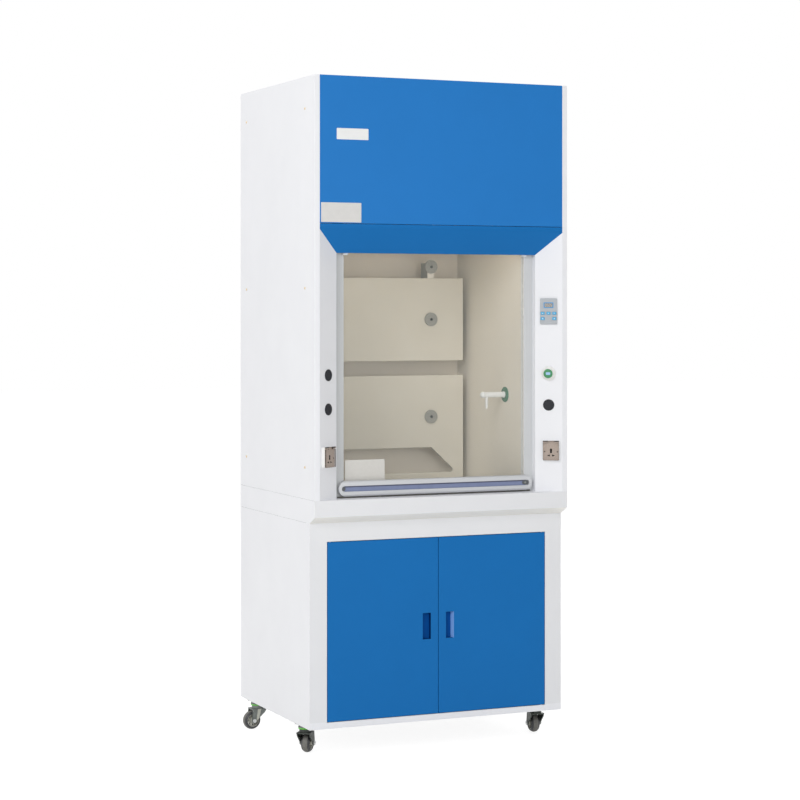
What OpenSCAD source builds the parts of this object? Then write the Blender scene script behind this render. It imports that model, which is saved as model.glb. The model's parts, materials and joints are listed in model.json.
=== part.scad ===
// Floor-standing ducted fume hood on a base cabinet with casters.
// Millimetres, +Z up, the front faces -Y, the origin is on the floor under the middle of the hood.

/* [Overall] */
// Width over the side panels
hood_w = 910; // [880:10:1060]
// Depth from the front of the fascia to the rear panel
hood_d = 706; // [690:2:780]
// Height of the upper rim above the floor
hood_h = 2200; // [2180:5:2300]
// Height of the worktop above the floor
worktop_z = 838; // [810:1:860]
// Thickness of the steel sheet
sheet = 1.5; // [1:0.1:2]
// Depth of the folded edges round the panels
fold = 18; // [14:1:22]

/* [Fascia and columns] */
// Height of the upper fascia
upper_fascia_h = 474; // [440:1:500]
// Open seam between the upper and the lower fascia
fascia_seam = 1.5; // [0.5:0.1:3]
// Height of the upright lip of the lower fascia
lip_h = 20; // [12:1:30]
// Height of the bevel below the lip
bevel_h = 74; // [60:1:90]
// Width of a bevelled column, seen from the front
column_w = 77; // [70:1:90]
// Depth of the bevels of the columns and of the lower fascia
column_d = 50; // [42:1:60]
// Depth of the return along the bottom of the lower fascia
fascia_return = 13; // [8:1:16]

/* [Top and exhaust] */
// Height of the rim above the top panel
rim_h = 24; // [15:1:30]
// Outer diameter of the exhaust collar
collar_od = 250; // [220:5:260]
// Wall of the exhaust collar
collar_wall = 3; // [2:0.5:5]
// Height of the collar above the rim
collar_rise = 25; // [15:1:30]
// Width of the flange round the collar
collar_flange = 25; // [15:1:30]

/* [Chamber] */
// Thickness of the liner boards
liner_t = 6; // [4:0.5:8]
// Set-back of the side liners behind the inner edges of the sash guides
liner_step = 3; // [0:0.5:5]
// Space between the rear liner and the rear panel, for the counterweights
rear_space = 100; // [90:1:120]
// Depth of the duct between the baffles and the rear liner
plenum_d = 91; // [80:1:100]
// Height of the ceiling above the lower edge of the fascia
ceiling_rise = 68; // [55:1:80]
// Gap between the sash clamps and the front edge of the ceiling
ceiling_gap = 8; // [5:1:12]
// Length of the lamp
lamp_l = 560; // [400:10:600]
// Width of the lamp
lamp_w = 64; // [50:1:80]
// Height of the lamp
lamp_h = 34; // [28:1:40]

/* [Baffles] */
// Gap between the baffles and the side liners
baffle_gap = 24; // [15:1:30]
// Height of the lower baffle, as a share of the chamber's height
lower_baffle_share = 0.44; // [0.4:0.005:0.48]
// Height of the slot between the baffles
baffle_slot = 52; // [40:1:60]
// Gap between the upper baffle and the ceiling
baffle_top_gap = 141; // [120:1:160]
// Height of the cut-out above the worktop
cutout_z = 38; // [30:1:50]
// Height of the cut-out
cutout_h = 88; // [70:1:100]
// Distance of the cut-out's lower corners from the sides of the baffle
cutout_side_low = 28; // [20:1:60]
// Distance of the cut-out's upper corners from the sides of the baffle
cutout_side_high = 123; // [100:1:140]
// Distance of the standoffs from the middle
standoff_x = 180; // [150:1:220]
// Diameter of the standoff discs
standoff_disc_d = 47; // [40:1:54]
// Thickness of the standoff discs
standoff_disc_t = 8; // [6:1:12]
// Diameter of the standoff posts
standoff_post_d = 24; // [18:1:30]
// Diameter of the studs through the baffles
stud_d = 10; // [8:0.5:12]
// Height of the top standoffs above the upper baffle
top_standoff_rise = 40; // [30:1:60]
// Width of the brackets behind the top standoffs
top_bracket_w = 26; // [20:1:32]
// Depth of these brackets behind the upper baffle
top_bracket_d = 48; // [36:1:60]

/* [Sash] */
// Width of a sash guide
guide_w = 33; // [30:1:38]
// Depth of a sash guide
guide_d = 22; // [20:1:26]
// Set-back of the guides behind the columns' inner edges
guide_step = 19; // [16:1:24]
// Wall of the guide extrusion
guide_wall = 2; // [1.5:0.1:2.5]
// Thickness of the sash pane
pane_t = 5; // [4:0.5:6]
// Free play of the pane in the guides, each side
pane_play = 1; // [0.6:0.1:1.5]
// Overlap of the pane behind the lower fascia
pane_overlap = 23; // [15:1:30]
// Height of the sash handle
handle_h = 51; // [46:1:56]
// Depth of the sash handle
handle_d = 15; // [14:1:24]
// Clearance of the handle's ends to the columns
handle_end_gap = 10; // [6:1:14]
// Clearance of the handle to the sill and to the guides
handle_gap = 5; // [3:1:8]
// Height of the groove along the handle
groove_h = 18; // [16:1:24]
// Depth of the groove along the handle
groove_d = 8; // [7:0.5:10]
// Thickness of the inlay in the groove
inlay_t = 2; // [1:0.5:3]
// Size of the sash stops under the lower fascia
stop_w = 16; // [12:1:20]
// Height of the sash stops
stop_h = 6; // [4:1:8]

/* [Counterweight drive] */
// Distance of the cables inside the sash guides
cable_inset = 19; // [16:1:30]
// Diameter of the cables
cable_d = 3; // [2:0.5:4]
// Radius from a pulley's axis to the middle of its cable
pulley_r = 20; // [16:1:24]
// Width of a pulley
pulley_w = 10; // [8:1:14]
// Height of the pulley rims above the middle of the cable
pulley_rim = 4; // [3:0.5:6]
// Diameter of the pulley axles
axle_d = 8; // [6:1:10]
// Clearance between the pulleys and the top panel
pulley_top_gap = 5.5; // [4:0.5:10]
// Width of a counterweight
weight_w = 56; // [40:1:70]
// Depth of a counterweight
weight_d = 36; // [25:1:50]
// Height of a counterweight
weight_h = 300; // [200:5:400]
// Length of cable between the rear pulleys and the weights, sash down
weight_drop = 60; // [45:1:90]

/* [Tap and sink] */
// Height of the tap above the worktop
tap_z = 320; // [280:0.5:360]
// Distance of the tap behind the sash guides
tap_y = 123; // [110:1:160]
// Diameter of the tap's wall flange
tap_flange_d = 52; // [44:1:58]
// Thickness of the tap's wall flange
tap_flange_t = 5; // [4:0.5:8]
// Diameter of the spout
spout_d = 19; // [15:1:22]
// Reach of the spout from the flange
spout_l = 90; // [80:1:100]
// Diameter of the spout's round end
spout_head_d = 22; // [20:1:26]
// Distance of the hose nozzle from the spout's end
nozzle_back = 24; // [20:1:30]
// Length of the hose nozzle below the spout's middle
nozzle_l = 47; // [40:1:56]
// Width of the cup sink
sink_w = 90; // [70:1:110]
// Length of the cup sink
sink_l = 190; // [150:1:220]
// Depth of the cup sink
sink_depth = 130; // [100:1:150]
// Wall of the cup sink
sink_wall = 4; // [3:0.5:6]
// Diameter of the sink's outlet
outlet_d = 40; // [32:1:50]
// Length of the sink's outlet
outlet_l = 60; // [40:1:80]

/* [Controls] */
// Height of the control panel's middle, as a share of the column's height
panel_share = 0.7625; // [0.74:0.0025:0.8]
// Width of the control panel
panel_w = 57; // [54:1:64]
// Height of the control panel
panel_h = 87; // [80:1:96]
// Thickness of the control panel
panel_t = 6; // [5:0.5:8]
// Width of the display window
display_w = 33; // [28:1:38]
// Height of the display window
display_h = 19; // [15:1:22]
// Width of a key
key_w = 13; // [11:0.5:14]
// Height of a key
key_h = 9; // [7:0.5:10]
// Distance between the keys' middles, across
key_pitch_x = 19.6; // [18:0.2:21]
// Distance between the keys' middles, up
key_pitch_z = 18; // [15:0.5:20]
// Travel of a key
key_travel = 1.5; // [1:0.1:2]
// Clearance round a moving key
key_gap = 0.4; // [0.3:0.1:0.6]
// Height of the knob, as a share of the column's height
knob_share = 0.4995; // [0.48:0.0005:0.52]
// Diameter of the knob's skirt
knob_skirt_d = 48; // [42:1:52]
// Diameter of the knob's grip
knob_d = 34; // [30:1:38]
// Length of the knob
knob_l = 24; // [20:1:28]
// Diameter of the valve spindle
spindle_d = 12; // [8:1:14]
// Diameter of the hole plugs
plug_d = 38; // [32:1:42]
// Height of the upper hole plug, as a share of the column's height
plug_high_share = 0.504; // [0.48:0.002:0.53]
// Height of the lower hole plugs, as a share of the column's height
plug_low_share = 0.366; // [0.34:0.002:0.39]
// Height of the sockets' middles, as a share of the column's height
socket_share = 0.174; // [0.15:0.001:0.19]
// Width of a socket
socket_w = 54; // [50:1:60]
// Height of a socket
socket_h = 66; // [60:1:72]
// Thickness of a socket's base
socket_t = 12; // [10:1:14]
// Distance of a socket's middle from the column's outer edge
socket_along = 37; // [34:1:44]
// Thickness of a socket cover
cover_t = 5; // [4:0.5:6]

/* [Blower] */
// Radius of the impeller
impeller_r = 115; // [100:1:120]
// Width of the impeller
impeller_w = 120; // [90:1:130]
// Number of impeller blades
blade_count = 24; // [16:1:30]
// Depth of the impeller blades
blade_depth = 26; // [20:1:32]
// Width of the blower housing
scroll_w = 180; // [160:1:200]
// Gap between the impeller and the tongue of the scroll
scroll_gap = 10; // [6:1:15]
// Growth of the scroll's radius from its tongue to its outlet
scroll_growth = 65; // [50:1:70]
// Distance of the blower's axis behind the middle of the hood
blower_y = 20; // [0:1:40]
// Height of the blower's axis above the ceiling
blower_rise = 199; // [190:1:210]
// Diameter of the blower's inlet
inlet_d = 190; // [160:1:200]
// Diameter of the motor
motor_d = 124; // [100:1:140]
// Length of the motor
motor_l = 120; // [100:1:140]
// Diameter of the motor shaft
shaft_d = 16; // [12:1:20]

/* [Base cabinet] */
// Height of the worktop frame
bench_h = 76; // [70:1:84]
// Height of the sill's upright front
sill_h = 53.5; // [46:0.5:58]
// Set-back of the base cabinet behind the sill
base_setback = 44.5; // [36:0.5:50]
// Width of the deck round the worktop
deck_w = 53; // [50:1:60]
// Thickness of the worktop board
worktop_t = 20; // [16:1:25]
// Height of the cabinet's underside above the floor
base_z = 99; // [95:1:105]
// Depth of the front frame
frame_d = 30; // [26:1:36]
// Width of the front frame's posts
post_w = 60; // [50:1:70]
// Height of the front frame's top rail
top_rail_h = 60.5; // [50:0.5:70]
// Height of the front frame's bottom rail
bottom_rail_h = 20; // [18:1:26]
// Gap round the doors
door_gap = 2; // [1.5:0.1:3]
// Thickness of the doors
door_t = 20; // [18:1:24]
// Diameter of the door pins
door_pin_d = 6; // [5:0.5:7]
// Length of the door pins
door_pin_l = 14; // [12:1:18]
// Distance of the door pins from the doors' outer edges
door_pin_edge = 10; // [8:0.5:14]
// Distance of the door pins from the doors' front
door_pin_front = 6; // [5.5:0.1:7]
// Width of a door pull
pull_w = 29; // [24:1:36]
// Height of a door pull
pull_h = 86; // [80:1:110]
// Depth of a door pull
pull_d = 14; // [10:1:15]
// Lean of a pull's outer wall over its depth
pull_lean = 6; // [4:1:12]
// Distance of a pull's middle from the cabinet's middle
pull_x = 42; // [38:1:60]
// Height of the pulls' middles above the floor
pull_z = 409.5; // [380:0.5:440]

/* [Casters] */
// Diameter of the wheels
wheel_d = 63; // [58:1:66]
// Width of the wheels
wheel_w = 30; // [26:1:32]
// Trail of the wheels behind the swivel axes
trail = 22; // [18:1:30]
// Distance of the swivel axes from the cabinet's sides
caster_inset = 33; // [30:1:60]
// Distance of the front swivel axes from the cabinet's front
caster_front = 122.5; // [110:0.5:180]
// Distance of the rear swivel axes from the cabinet's rear
caster_rear = 81; // [70:1:120]
// Heading of the front left wheel
front_left_turn = 51; // [0:1:359]
// Heading of the front right wheel
front_right_turn = 81; // [0:1:359]
// Heading of the rear left wheel
rear_left_turn = 185; // [0:1:359]
// Heading of the rear right wheel
rear_right_turn = 339; // [0:1:359]

/* [Hidden] */
$fn = 64;
// Radial clearance of shafts and pins in their bores
running = 0.05;
// Clearance between close pieces that are fixed to each other
fixing = 0.2;
// Overcut that carries a cut past the face it opens
past = 1;

y_front = -hood_d / 2;
y_rear = hood_d / 2;
// Inner edge of the side panels' folds
inner_x = hood_w / 2 - fold;
// Inside face of the side panels' skins
skin_x = hood_w / 2 - sheet;
// Inner edge of the columns and of the window
jamb_x = inner_x - column_w;
column_y = y_front + column_d;
column_angle = atan2(column_d, column_w);
column_face = norm([column_w, column_d]);

fascia_z = hood_h - upper_fascia_h;
lip_top = fascia_z - fascia_seam;
bevel_top = fascia_z - lip_h;
bevel_bottom = bevel_top - bevel_h;

// Heights of what stands on the columns, above the worktop
column_h = bevel_bottom - worktop_z;
panel_z = panel_share * column_h;
knob_z = knob_share * column_h;
plug_high_z = plug_high_share * column_h;
plug_low_z = plug_low_share * column_h;
socket_z = socket_share * column_h;

top_z = hood_h - rim_h;
top_under = top_z - sheet;
collar_r = collar_od / 2;

guide_in = jamb_x - guide_w;
guide_front = column_y + guide_step;
guide_rear = guide_front + guide_d;
guide_top_gap = 25;
guide_top = top_under - guide_top_gap;
pane_y = (guide_front + guide_rear) / 2;
pane_side_gap = 6;
pane_half = jamb_x - guide_wall - pane_side_gap;

liner_x = guide_in + liner_step;
rear_liner_y = y_rear - sheet - rear_space - liner_t;
baffle_y = rear_liner_y - plenum_d - liner_t;
baffle_half = liner_x - baffle_gap;
ceiling_z = bevel_bottom + ceiling_rise;
ceiling_top = ceiling_z + liner_t;
chamber_h = ceiling_z - worktop_z;
lower_baffle_h = lower_baffle_share * chamber_h;
upper_baffle_z = worktop_z + lower_baffle_h + baffle_slot;
upper_baffle_top = ceiling_z - baffle_top_gap;
upper_baffle_h = upper_baffle_top - upper_baffle_z;

handle_z = worktop_z + handle_gap;
handle_half = jamb_x - handle_end_gap;
handle_guide_gap = 2;
handle_rear = guide_front - handle_guide_gap;
handle_front = handle_rear - handle_d;
handle_mid = handle_z + handle_h / 2;
grip_floor = 6;
grip_h = 28;
grip_half = guide_in - handle_gap;
grip_wall = 3;
pane_bottom = handle_z + grip_floor;
pane_top = bevel_bottom + pane_overlap;

clamp_w = 24;
clamp_h = 20;
clamp_jaw = 5;
clamp_back = 14;
cable_front_y = pane_y + pane_t / 2 + clamp_back / 2;
ceiling_front = pane_y + pane_t / 2 + clamp_back + ceiling_gap;
cable_x = guide_in - cable_inset;
pulley_rim_r = pulley_r + pulley_rim;
pulley_z = top_under - pulley_top_gap - pulley_rim_r;
front_pulley_y = cable_front_y + pulley_r;
cable_rear_y = y_rear - sheet - rear_space / 2;
rear_pulley_y = cable_rear_y - pulley_r;
weight_top = pulley_z - weight_drop;

tap_pos = [liner_x, guide_rear + tap_y, worktop_z + tap_z];
sink_x = liner_x - tap_flange_t - spout_l + nozzle_back;

blower_z = ceiling_top + blower_rise;
tongue_angle = 60;
scroll_start = impeller_r + scroll_gap;
scroll_end = scroll_start + scroll_growth;
duct_in = blower_y + scroll_start * cos(tongue_angle);
duct_out = blower_y + scroll_end;
collar_y = (duct_in + duct_out) / 2;

bench_z = worktop_z - bench_h;
base_front = y_front + base_setback;
base_floor_z = base_z + bottom_rail_h;
open_half = hood_w / 2 - post_w;
open_top = bench_z - top_rail_h;
door_half = open_half - door_gap;
door_z = base_floor_z + door_gap;
door_top = open_top - door_gap;
door_pin_x = door_half - door_pin_edge;
door_pin_y = base_front + door_pin_front;
deck_half = hood_w / 2 - deck_w;
deck_lap = 2;
deck_front = guide_rear - deck_lap;
deck_rear_gap = 22;
deck_rear = y_rear - deck_rear_gap;
ledge_w = 16;

caster_x = hood_w / 2 - caster_inset;
caster_front_y = base_front + caster_front;
caster_rear_y = y_rear - caster_rear;
plate_half = 28;
plate_t = 3;
wheel_r = wheel_d / 2;
wheel_axle_r = 4;
swivel_h = 17.5;
fork_top = base_z - swivel_h;
wheel_top_gap = 4;
fork_under = wheel_d + wheel_top_gap;
fork_wall = 3;
wheel_side_gap = 5;
fork_in = wheel_w / 2 + wheel_side_gap;
fork_out = fork_in + fork_wall;
seal_d = 47;

white = "#eef0f2";
blue = "#2d75be";
ivory = "#d8d0be";
aluminium = "#c3c7cc";
steel = "#8e9499";

// Sheet metal and placing helpers

function unit(v) = v / norm(v);
function left_of(v) = [-v[1], v[0]];

// Point i of a path moved to the left by t, mitred at the bends
function mitred(path, i, t) =
    let (
        last = len(path) - 1,
        a = max(i, 1),
        b = min(i, last - 1),
        n = left_of(unit(path[a] - path[a - 1])) + left_of(unit(path[b + 1] - path[b]))
    )
    path[i] + 2 * t * n / (n * n);

// Outline of a sheet of thickness t folded along a path, lying on the left of it
function folded(path, t) =
    concat(path, [for (i = [len(path) - 1 : -1 : 0]) mitred(path, i, t)]);

// Closed outline drawn in by t, for points that run anticlockwise
function inset(points, t) =
    let (n = len(points))
    [for (i = [0 : n - 1]) mitred([points[(i + n - 1) % n], points[i], points[(i + 1) % n]], 1, t)];

// Corner points of an outline replaced by arcs of radius r
function rounded(points, r, steps = 6) =
    let (n = len(points))
    [for (i = [0 : n - 1])
        let (
            p = points[i],
            u = unit(points[(i + n - 1) % n] - p),
            v = unit(points[(i + 1) % n] - p),
            half = acos(u * v) / 2,
            middle = p + unit(u + v) * r / sin(half),
            from = p + u * r / tan(half) - middle,
            to = p + v * r / tan(half) - middle
        )
        for (k = [0 : steps]) middle + r * unit(from * (steps - k) + to * k)];

function box_outline(w, h) = [[-w / 2, -h / 2], [w / 2, -h / 2], [w / 2, h / 2], [-w / 2, h / 2]];

// Carries an outline drawn in depth and height across the width w
module along_x(w)
    translate([-w / 2, 0, 0]) rotate([90, 0, 90]) linear_extrude(w) children();

// Carries an outline drawn in width and height from the front y0 to the rear y1
module along_y(y0, y1)
    translate([0, y1, 0]) rotate([90, 0, 0]) linear_extrude(y1 - y0) children();

module both_sides() {
    children();
    mirror([1, 0, 0]) children();
}

// Stands children on a column's face, with -Y out of the face and X along it
module on_column(side, along, z)
    translate([side * (inner_x - along * cos(column_angle)), y_front + along * sin(column_angle), z])
    rotate([0, 0, -side * column_angle])
    children();

// Box with round ends along X, its middle at the origin, drawn upwards from z = 0
module long_round(l, w, h) {
    for (x = [-1, 1])
        translate([x * (l - w) / 2, 0, 0]) cylinder(d = w, h = h);
    translate([-(l - w) / 2, -w / 2, 0]) cube([l - w, w, h]);
}

// Upper cabinet

module side_panel(z0, z1, y0)
    translate([-hood_w / 2, y0, z0])
    difference() {
        cube([fold, y_rear - y0, z1 - z0]);
        translate([sheet, sheet, sheet])
            cube([fold, y_rear - y0 - 2 * sheet, z1 - z0 - 2 * sheet]);
    }

module left_side_panel() color(white) side_panel(worktop_z, hood_h, y_front);

module right_side_panel() color(white) mirror([1, 0, 0]) side_panel(worktop_z, hood_h, y_front);

// Rear sheet, let in behind the side panels' folds
module rear_sheet(z0, z1)
    translate([0, y_rear - 2 * sheet, z0]) {
        translate([-skin_x, 0, sheet]) cube([2 * skin_x, sheet, z1 - z0 - 2 * sheet]);
        translate([-inner_x, 0, 0]) cube([2 * inner_x, sheet, z1 - z0]);
    }

module rear_panel() color(white) rear_sheet(worktop_z, hood_h);

module top_panel()
    color(white)
    difference() {
        translate([-skin_x, y_front + fold, top_under])
            cube([2 * skin_x, hood_d - fold - 2 * sheet, sheet]);
        translate([0, collar_y, top_under - past])
            cylinder(r = collar_r - collar_wall, h = sheet + 2 * past);
    }

module exhaust_collar()
    color(white)
    translate([0, collar_y, top_z])
    rotate_extrude()
    union() {
        translate([collar_r - collar_wall, 0]) square([collar_wall, rim_h + collar_rise]);
        translate([collar_r - collar_wall, 0]) square([collar_wall + collar_flange, collar_wall]);
    }

module upper_fascia()
    color(blue)
    translate([-inner_x, y_front, fascia_z])
    difference() {
        cube([2 * inner_x, fold, upper_fascia_h]);
        translate([sheet, sheet, sheet])
            cube([2 * (inner_x - sheet), fold, upper_fascia_h - 2 * sheet]);
    }

module lower_fascia()
    color(blue)
    intersection() {
        along_x(2 * inner_x)
            polygon(folded([
                [y_front + fold, lip_top], [y_front, lip_top], [y_front, bevel_top],
                [column_y, bevel_bottom], [column_y + fascia_return, bevel_bottom]
            ], sheet));
        along_y(y_front - past, y_front + fold + column_d)
            polygon([
                [-inner_x, lip_top], [-inner_x, bevel_top], [-jamb_x, bevel_bottom],
                [jamb_x, bevel_bottom], [inner_x, bevel_top], [inner_x, lip_top]
            ]);
    }

// Bevelled column of the right side, mitred against the lower fascia
module column_sheet()
    intersection() {
        translate([0, 0, worktop_z])
            linear_extrude(bevel_top - worktop_z)
            polygon(folded([
                [jamb_x, guide_rear], [jamb_x, column_y], [inner_x, y_front], [inner_x, y_front + fold]
            ], sheet));
        along_y(y_front - past, guide_rear + past)
            polygon([
                [jamb_x, worktop_z], [inner_x, worktop_z], [inner_x, bevel_top], [jamb_x, bevel_bottom]
            ]);
    }

// Round hole through a column's sheet
module column_hole(side, z, d)
    on_column(side, column_face / 2, z)
    translate([0, sheet + past, 0]) rotate([90, 0, 0]) cylinder(d = d, h = sheet + 2 * past);

plug_neck_d = plug_d - 6;

module left_column()
    color(white)
    difference() {
        mirror([1, 0, 0]) column_sheet();
        column_hole(-1, worktop_z + plug_high_z, plug_neck_d + 2 * fixing);
        column_hole(-1, worktop_z + plug_low_z, plug_neck_d + 2 * fixing);
    }

module right_column()
    color(white)
    difference() {
        column_sheet();
        column_hole(1, worktop_z + plug_low_z, plug_neck_d + 2 * fixing);
        column_hole(1, worktop_z + knob_z, spindle_d + 2 * running);
    }

// Chamber

module side_liners()
    color(ivory)
    both_sides()
    translate([liner_x, guide_rear, worktop_z])
    cube([liner_t, rear_liner_y - guide_rear, ceiling_z - worktop_z]);

module rear_liner()
    color(ivory)
    translate([-liner_x - liner_t, rear_liner_y, worktop_z])
    cube([2 * (liner_x + liner_t), liner_t, ceiling_z - worktop_z]);

// The ceiling stops over the baffles, so the duct behind them opens into the blower's space
module ceiling_liner()
    color(ivory)
    translate([-liner_x - liner_t, ceiling_front, ceiling_z])
    cube([2 * (liner_x + liner_t), baffle_y + 2 * liner_t - ceiling_front, liner_t]);

lamp_front_gap = 20;
lamp_y = ceiling_front + lamp_front_gap + lamp_w / 2;
lamp_cap = 12;

module lamp()
    color("#f4f4ee")
    translate([0, lamp_y, ceiling_z]) {
        along_x(lamp_l - 2 * lamp_cap)
            intersection() {
                translate([-lamp_w / 2, -lamp_h]) square([lamp_w, lamp_h]);
                translate([0, lamp_w - lamp_h]) circle(r = lamp_w);
            }
        both_sides()
            translate([lamp_l / 2 - lamp_cap, -lamp_w / 2, -lamp_h]) cube([lamp_cap, lamp_w, lamp_h]);
    }

module standoff_places(heights)
    for (z = heights)
        both_sides() translate([standoff_x, baffle_y, z]) {
            children();
        }

// The lower standoffs sit above the middle of their baffle, clear of the cut-out
lower_standoff_share = 0.617;
lower_standoff_z = worktop_z + lower_standoff_share * lower_baffle_h;
upper_standoff_z = upper_baffle_z + upper_baffle_h / 2;
top_standoff_z = upper_baffle_top + top_standoff_rise;

module stud_hole()
    translate([0, liner_t + past, 0])
    rotate([90, 0, 0])
    cylinder(d = stud_d + 2 * fixing, h = liner_t + 2 * past);

module upper_baffle()
    color(ivory)
    difference() {
        translate([-baffle_half, baffle_y, upper_baffle_z])
            cube([2 * baffle_half, liner_t, upper_baffle_h]);
        standoff_places([upper_standoff_z]) stud_hole();
    }

cutout_corner = 8;
cutout_low = baffle_half - cutout_side_low;
cutout_high = baffle_half - cutout_side_high;

module lower_baffle()
    color(ivory)
    difference() {
        translate([-baffle_half, baffle_y, worktop_z])
            cube([2 * baffle_half, liner_t, lower_baffle_h]);
        standoff_places([lower_standoff_z]) stud_hole();
        along_y(baffle_y - past, baffle_y + liner_t + past)
            translate([0, worktop_z + cutout_z])
            polygon(rounded([
                [-cutout_low, 0], [cutout_low, 0], [cutout_high, cutout_h], [-cutout_high, cutout_h]
            ], cutout_corner));
    }

// Disc in front of a baffle, with a round recess in its middle
module standoff_disc()
    rotate([90, 0, 0])
    difference() {
        cylinder(d = standoff_disc_d, h = standoff_disc_t);
        translate([0, 0, standoff_disc_t / 2]) cylinder(d = stud_d, h = standoff_disc_t);
    }

// Post on the rear liner and stud through the baffle
module standoff_post()
    rotate([90, 0, 0]) {
        translate([0, 0, -liner_t - past]) cylinder(d = stud_d, h = liner_t + 2 * past);
        translate([0, 0, -liner_t - plenum_d]) cylinder(d = standoff_post_d, h = plenum_d);
    }

// Bracket that hooks over the upper baffle and hangs behind it
module top_bracket()
    translate([0, 0, top_standoff_z - upper_baffle_top - top_standoff_rise])
    along_x(top_bracket_w)
    polygon([
        [-past, -top_standoff_rise], [liner_t, -top_standoff_rise], [liner_t, -2 * top_standoff_rise],
        [liner_t + top_bracket_d, -2 * top_standoff_rise], [liner_t + top_bracket_d, top_bracket_w / 2],
        [-past, top_bracket_w / 2]
    ]);

module baffle_standoffs()
    color(steel) {
        standoff_places([lower_standoff_z, upper_standoff_z]) {
            standoff_disc();
            standoff_post();
        }
        standoff_places([top_standoff_z]) {
            standoff_disc();
            top_bracket();
        }
    }

// Sash

slot_half = pane_t / 2 + pane_play;

module guide_section()
    difference() {
        translate([guide_in, guide_front]) square([guide_w, guide_d]);
        translate([guide_in - past, pane_y - slot_half])
            square([guide_w - guide_wall + past, 2 * slot_half]);
        for (y = [guide_front + guide_wall, pane_y + slot_half + guide_wall])
            translate([guide_in + guide_wall, y])
                square([guide_w - 2 * guide_wall, guide_d / 2 - slot_half - 2 * guide_wall]);
    }

// The stops lap over the guides' inner edges and stand out in front of them
stop_lap = 5;
stop_reach = 10;

module sash_guides()
    color(aluminium)
    both_sides() {
        translate([0, 0, worktop_z]) linear_extrude(guide_top - worktop_z) guide_section();
        translate([guide_in + stop_lap - stop_w, guide_front - stop_reach, bevel_bottom - stop_h])
            cube([stop_w, stop_reach + past, stop_h]);
    }

module sash_pane()
    color("#dfe8ea", 0.35)
    translate([-pane_half, pane_y - pane_t / 2, pane_bottom])
    cube([2 * pane_half, pane_t, pane_top - pane_bottom]);

handle_corner = 7;
// The groove runs this far past the middles of the handle's round ends
groove_end = 6;
// The inlay ends this far before the groove does
inlay_end = 6;
groove_l = 2 * (handle_half - handle_h / 2 + groove_end) + groove_h;

module sash_handle()
    color(aluminium)
    difference() {
        union() {
            intersection() {
                translate([0, handle_rear, handle_mid])
                    rotate([90, 0, 0])
                    long_round(2 * handle_half, handle_h, handle_d);
                along_x(2 * handle_half)
                    polygon(rounded([
                        [handle_rear + handle_corner, handle_z],
                        [handle_rear + handle_corner, handle_z + handle_h],
                        [handle_front, handle_z + handle_h], [handle_front, handle_z]
                    ], handle_corner));
            }
            translate([-grip_half, handle_rear - past, handle_z])
                cube([2 * grip_half, pane_y + pane_t / 2 + grip_wall - handle_rear + past, grip_h]);
        }
        translate([0, handle_front + groove_d, handle_mid])
            rotate([90, 0, 0])
            long_round(groove_l, groove_h, groove_d + past);
        translate([-grip_half - past, pane_y - pane_t / 2, pane_bottom])
            cube([2 * (grip_half + past), pane_t, grip_h]);
    }

module handle_inlay()
    color("#7f88b5")
    translate([0, handle_front + groove_d, handle_mid])
    rotate([90, 0, 0])
    long_round(groove_l - 2 * inlay_end, groove_h - 2 * fixing, inlay_t);

module sash_clamps()
    color(white)
    both_sides()
    translate([cable_x, 0, 0])
    along_x(clamp_w)
    polygon([
        [pane_y - pane_t / 2 - clamp_jaw, pane_top - clamp_h],
        [pane_y - pane_t / 2, pane_top - clamp_h], [pane_y - pane_t / 2, pane_top],
        [pane_y + pane_t / 2, pane_top], [pane_y + pane_t / 2, pane_top - clamp_h],
        [pane_y + pane_t / 2 + clamp_back, pane_top - clamp_h],
        [pane_y + pane_t / 2 + clamp_back, pane_top + clamp_jaw],
        [pane_y - pane_t / 2 - clamp_jaw, pane_top + clamp_jaw]
    ]);

// Counterweight drive

// Quarter turn of cable round a pulley whose axis lies along X
module cable_bend(y, turn)
    translate([cable_x, y, pulley_z])
    rotate([90, 0, 90])
    rotate([0, 0, turn])
    rotate_extrude(angle = 90)
    translate([pulley_r, 0]) circle(d = cable_d);

module sash_cables()
    color(steel)
    both_sides() {
        translate([cable_x, cable_front_y, pane_top + clamp_jaw])
            cylinder(d = cable_d, h = pulley_z - pane_top - clamp_jaw);
        cable_bend(front_pulley_y, 90);
        translate([cable_x, front_pulley_y, pulley_z + pulley_r])
            rotate([-90, 0, 0]) cylinder(d = cable_d, h = rear_pulley_y - front_pulley_y);
        cable_bend(rear_pulley_y, 0);
        translate([cable_x, cable_rear_y, weight_top])
            cylinder(d = cable_d, h = pulley_z - weight_top);
    }

groove_floor_r = pulley_r - cable_d / 2 - fixing;

// Grooved wheel turned about X, its bore running on the bracket's axle
module pulley(y)
    translate([0, y, pulley_z])
    rotate([0, 90, 0])
    rotate_extrude()
    difference() {
        translate([axle_d / 2 + running, -pulley_w / 2])
            square([pulley_rim_r - axle_d / 2 - running, pulley_w]);
        polygon([
            [groove_floor_r, -cable_d / 2], [pulley_rim_r + past, -pulley_w / 2 - past / 2],
            [pulley_rim_r + past, pulley_w / 2 + past / 2], [groove_floor_r, cable_d / 2]
        ]);
    }

module front_pulleys() color("#e4e4de") both_sides() translate([cable_x, 0, 0]) pulley(front_pulley_y);

module rear_pulleys() color("#e4e4de") both_sides() translate([cable_x, 0, 0]) pulley(rear_pulley_y);

pulley_side_gap = 1;
bracket_in = pulley_w / 2 + pulley_side_gap;
bracket_t = 3;
bracket_l = 30;
bracket_below = 10;

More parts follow.
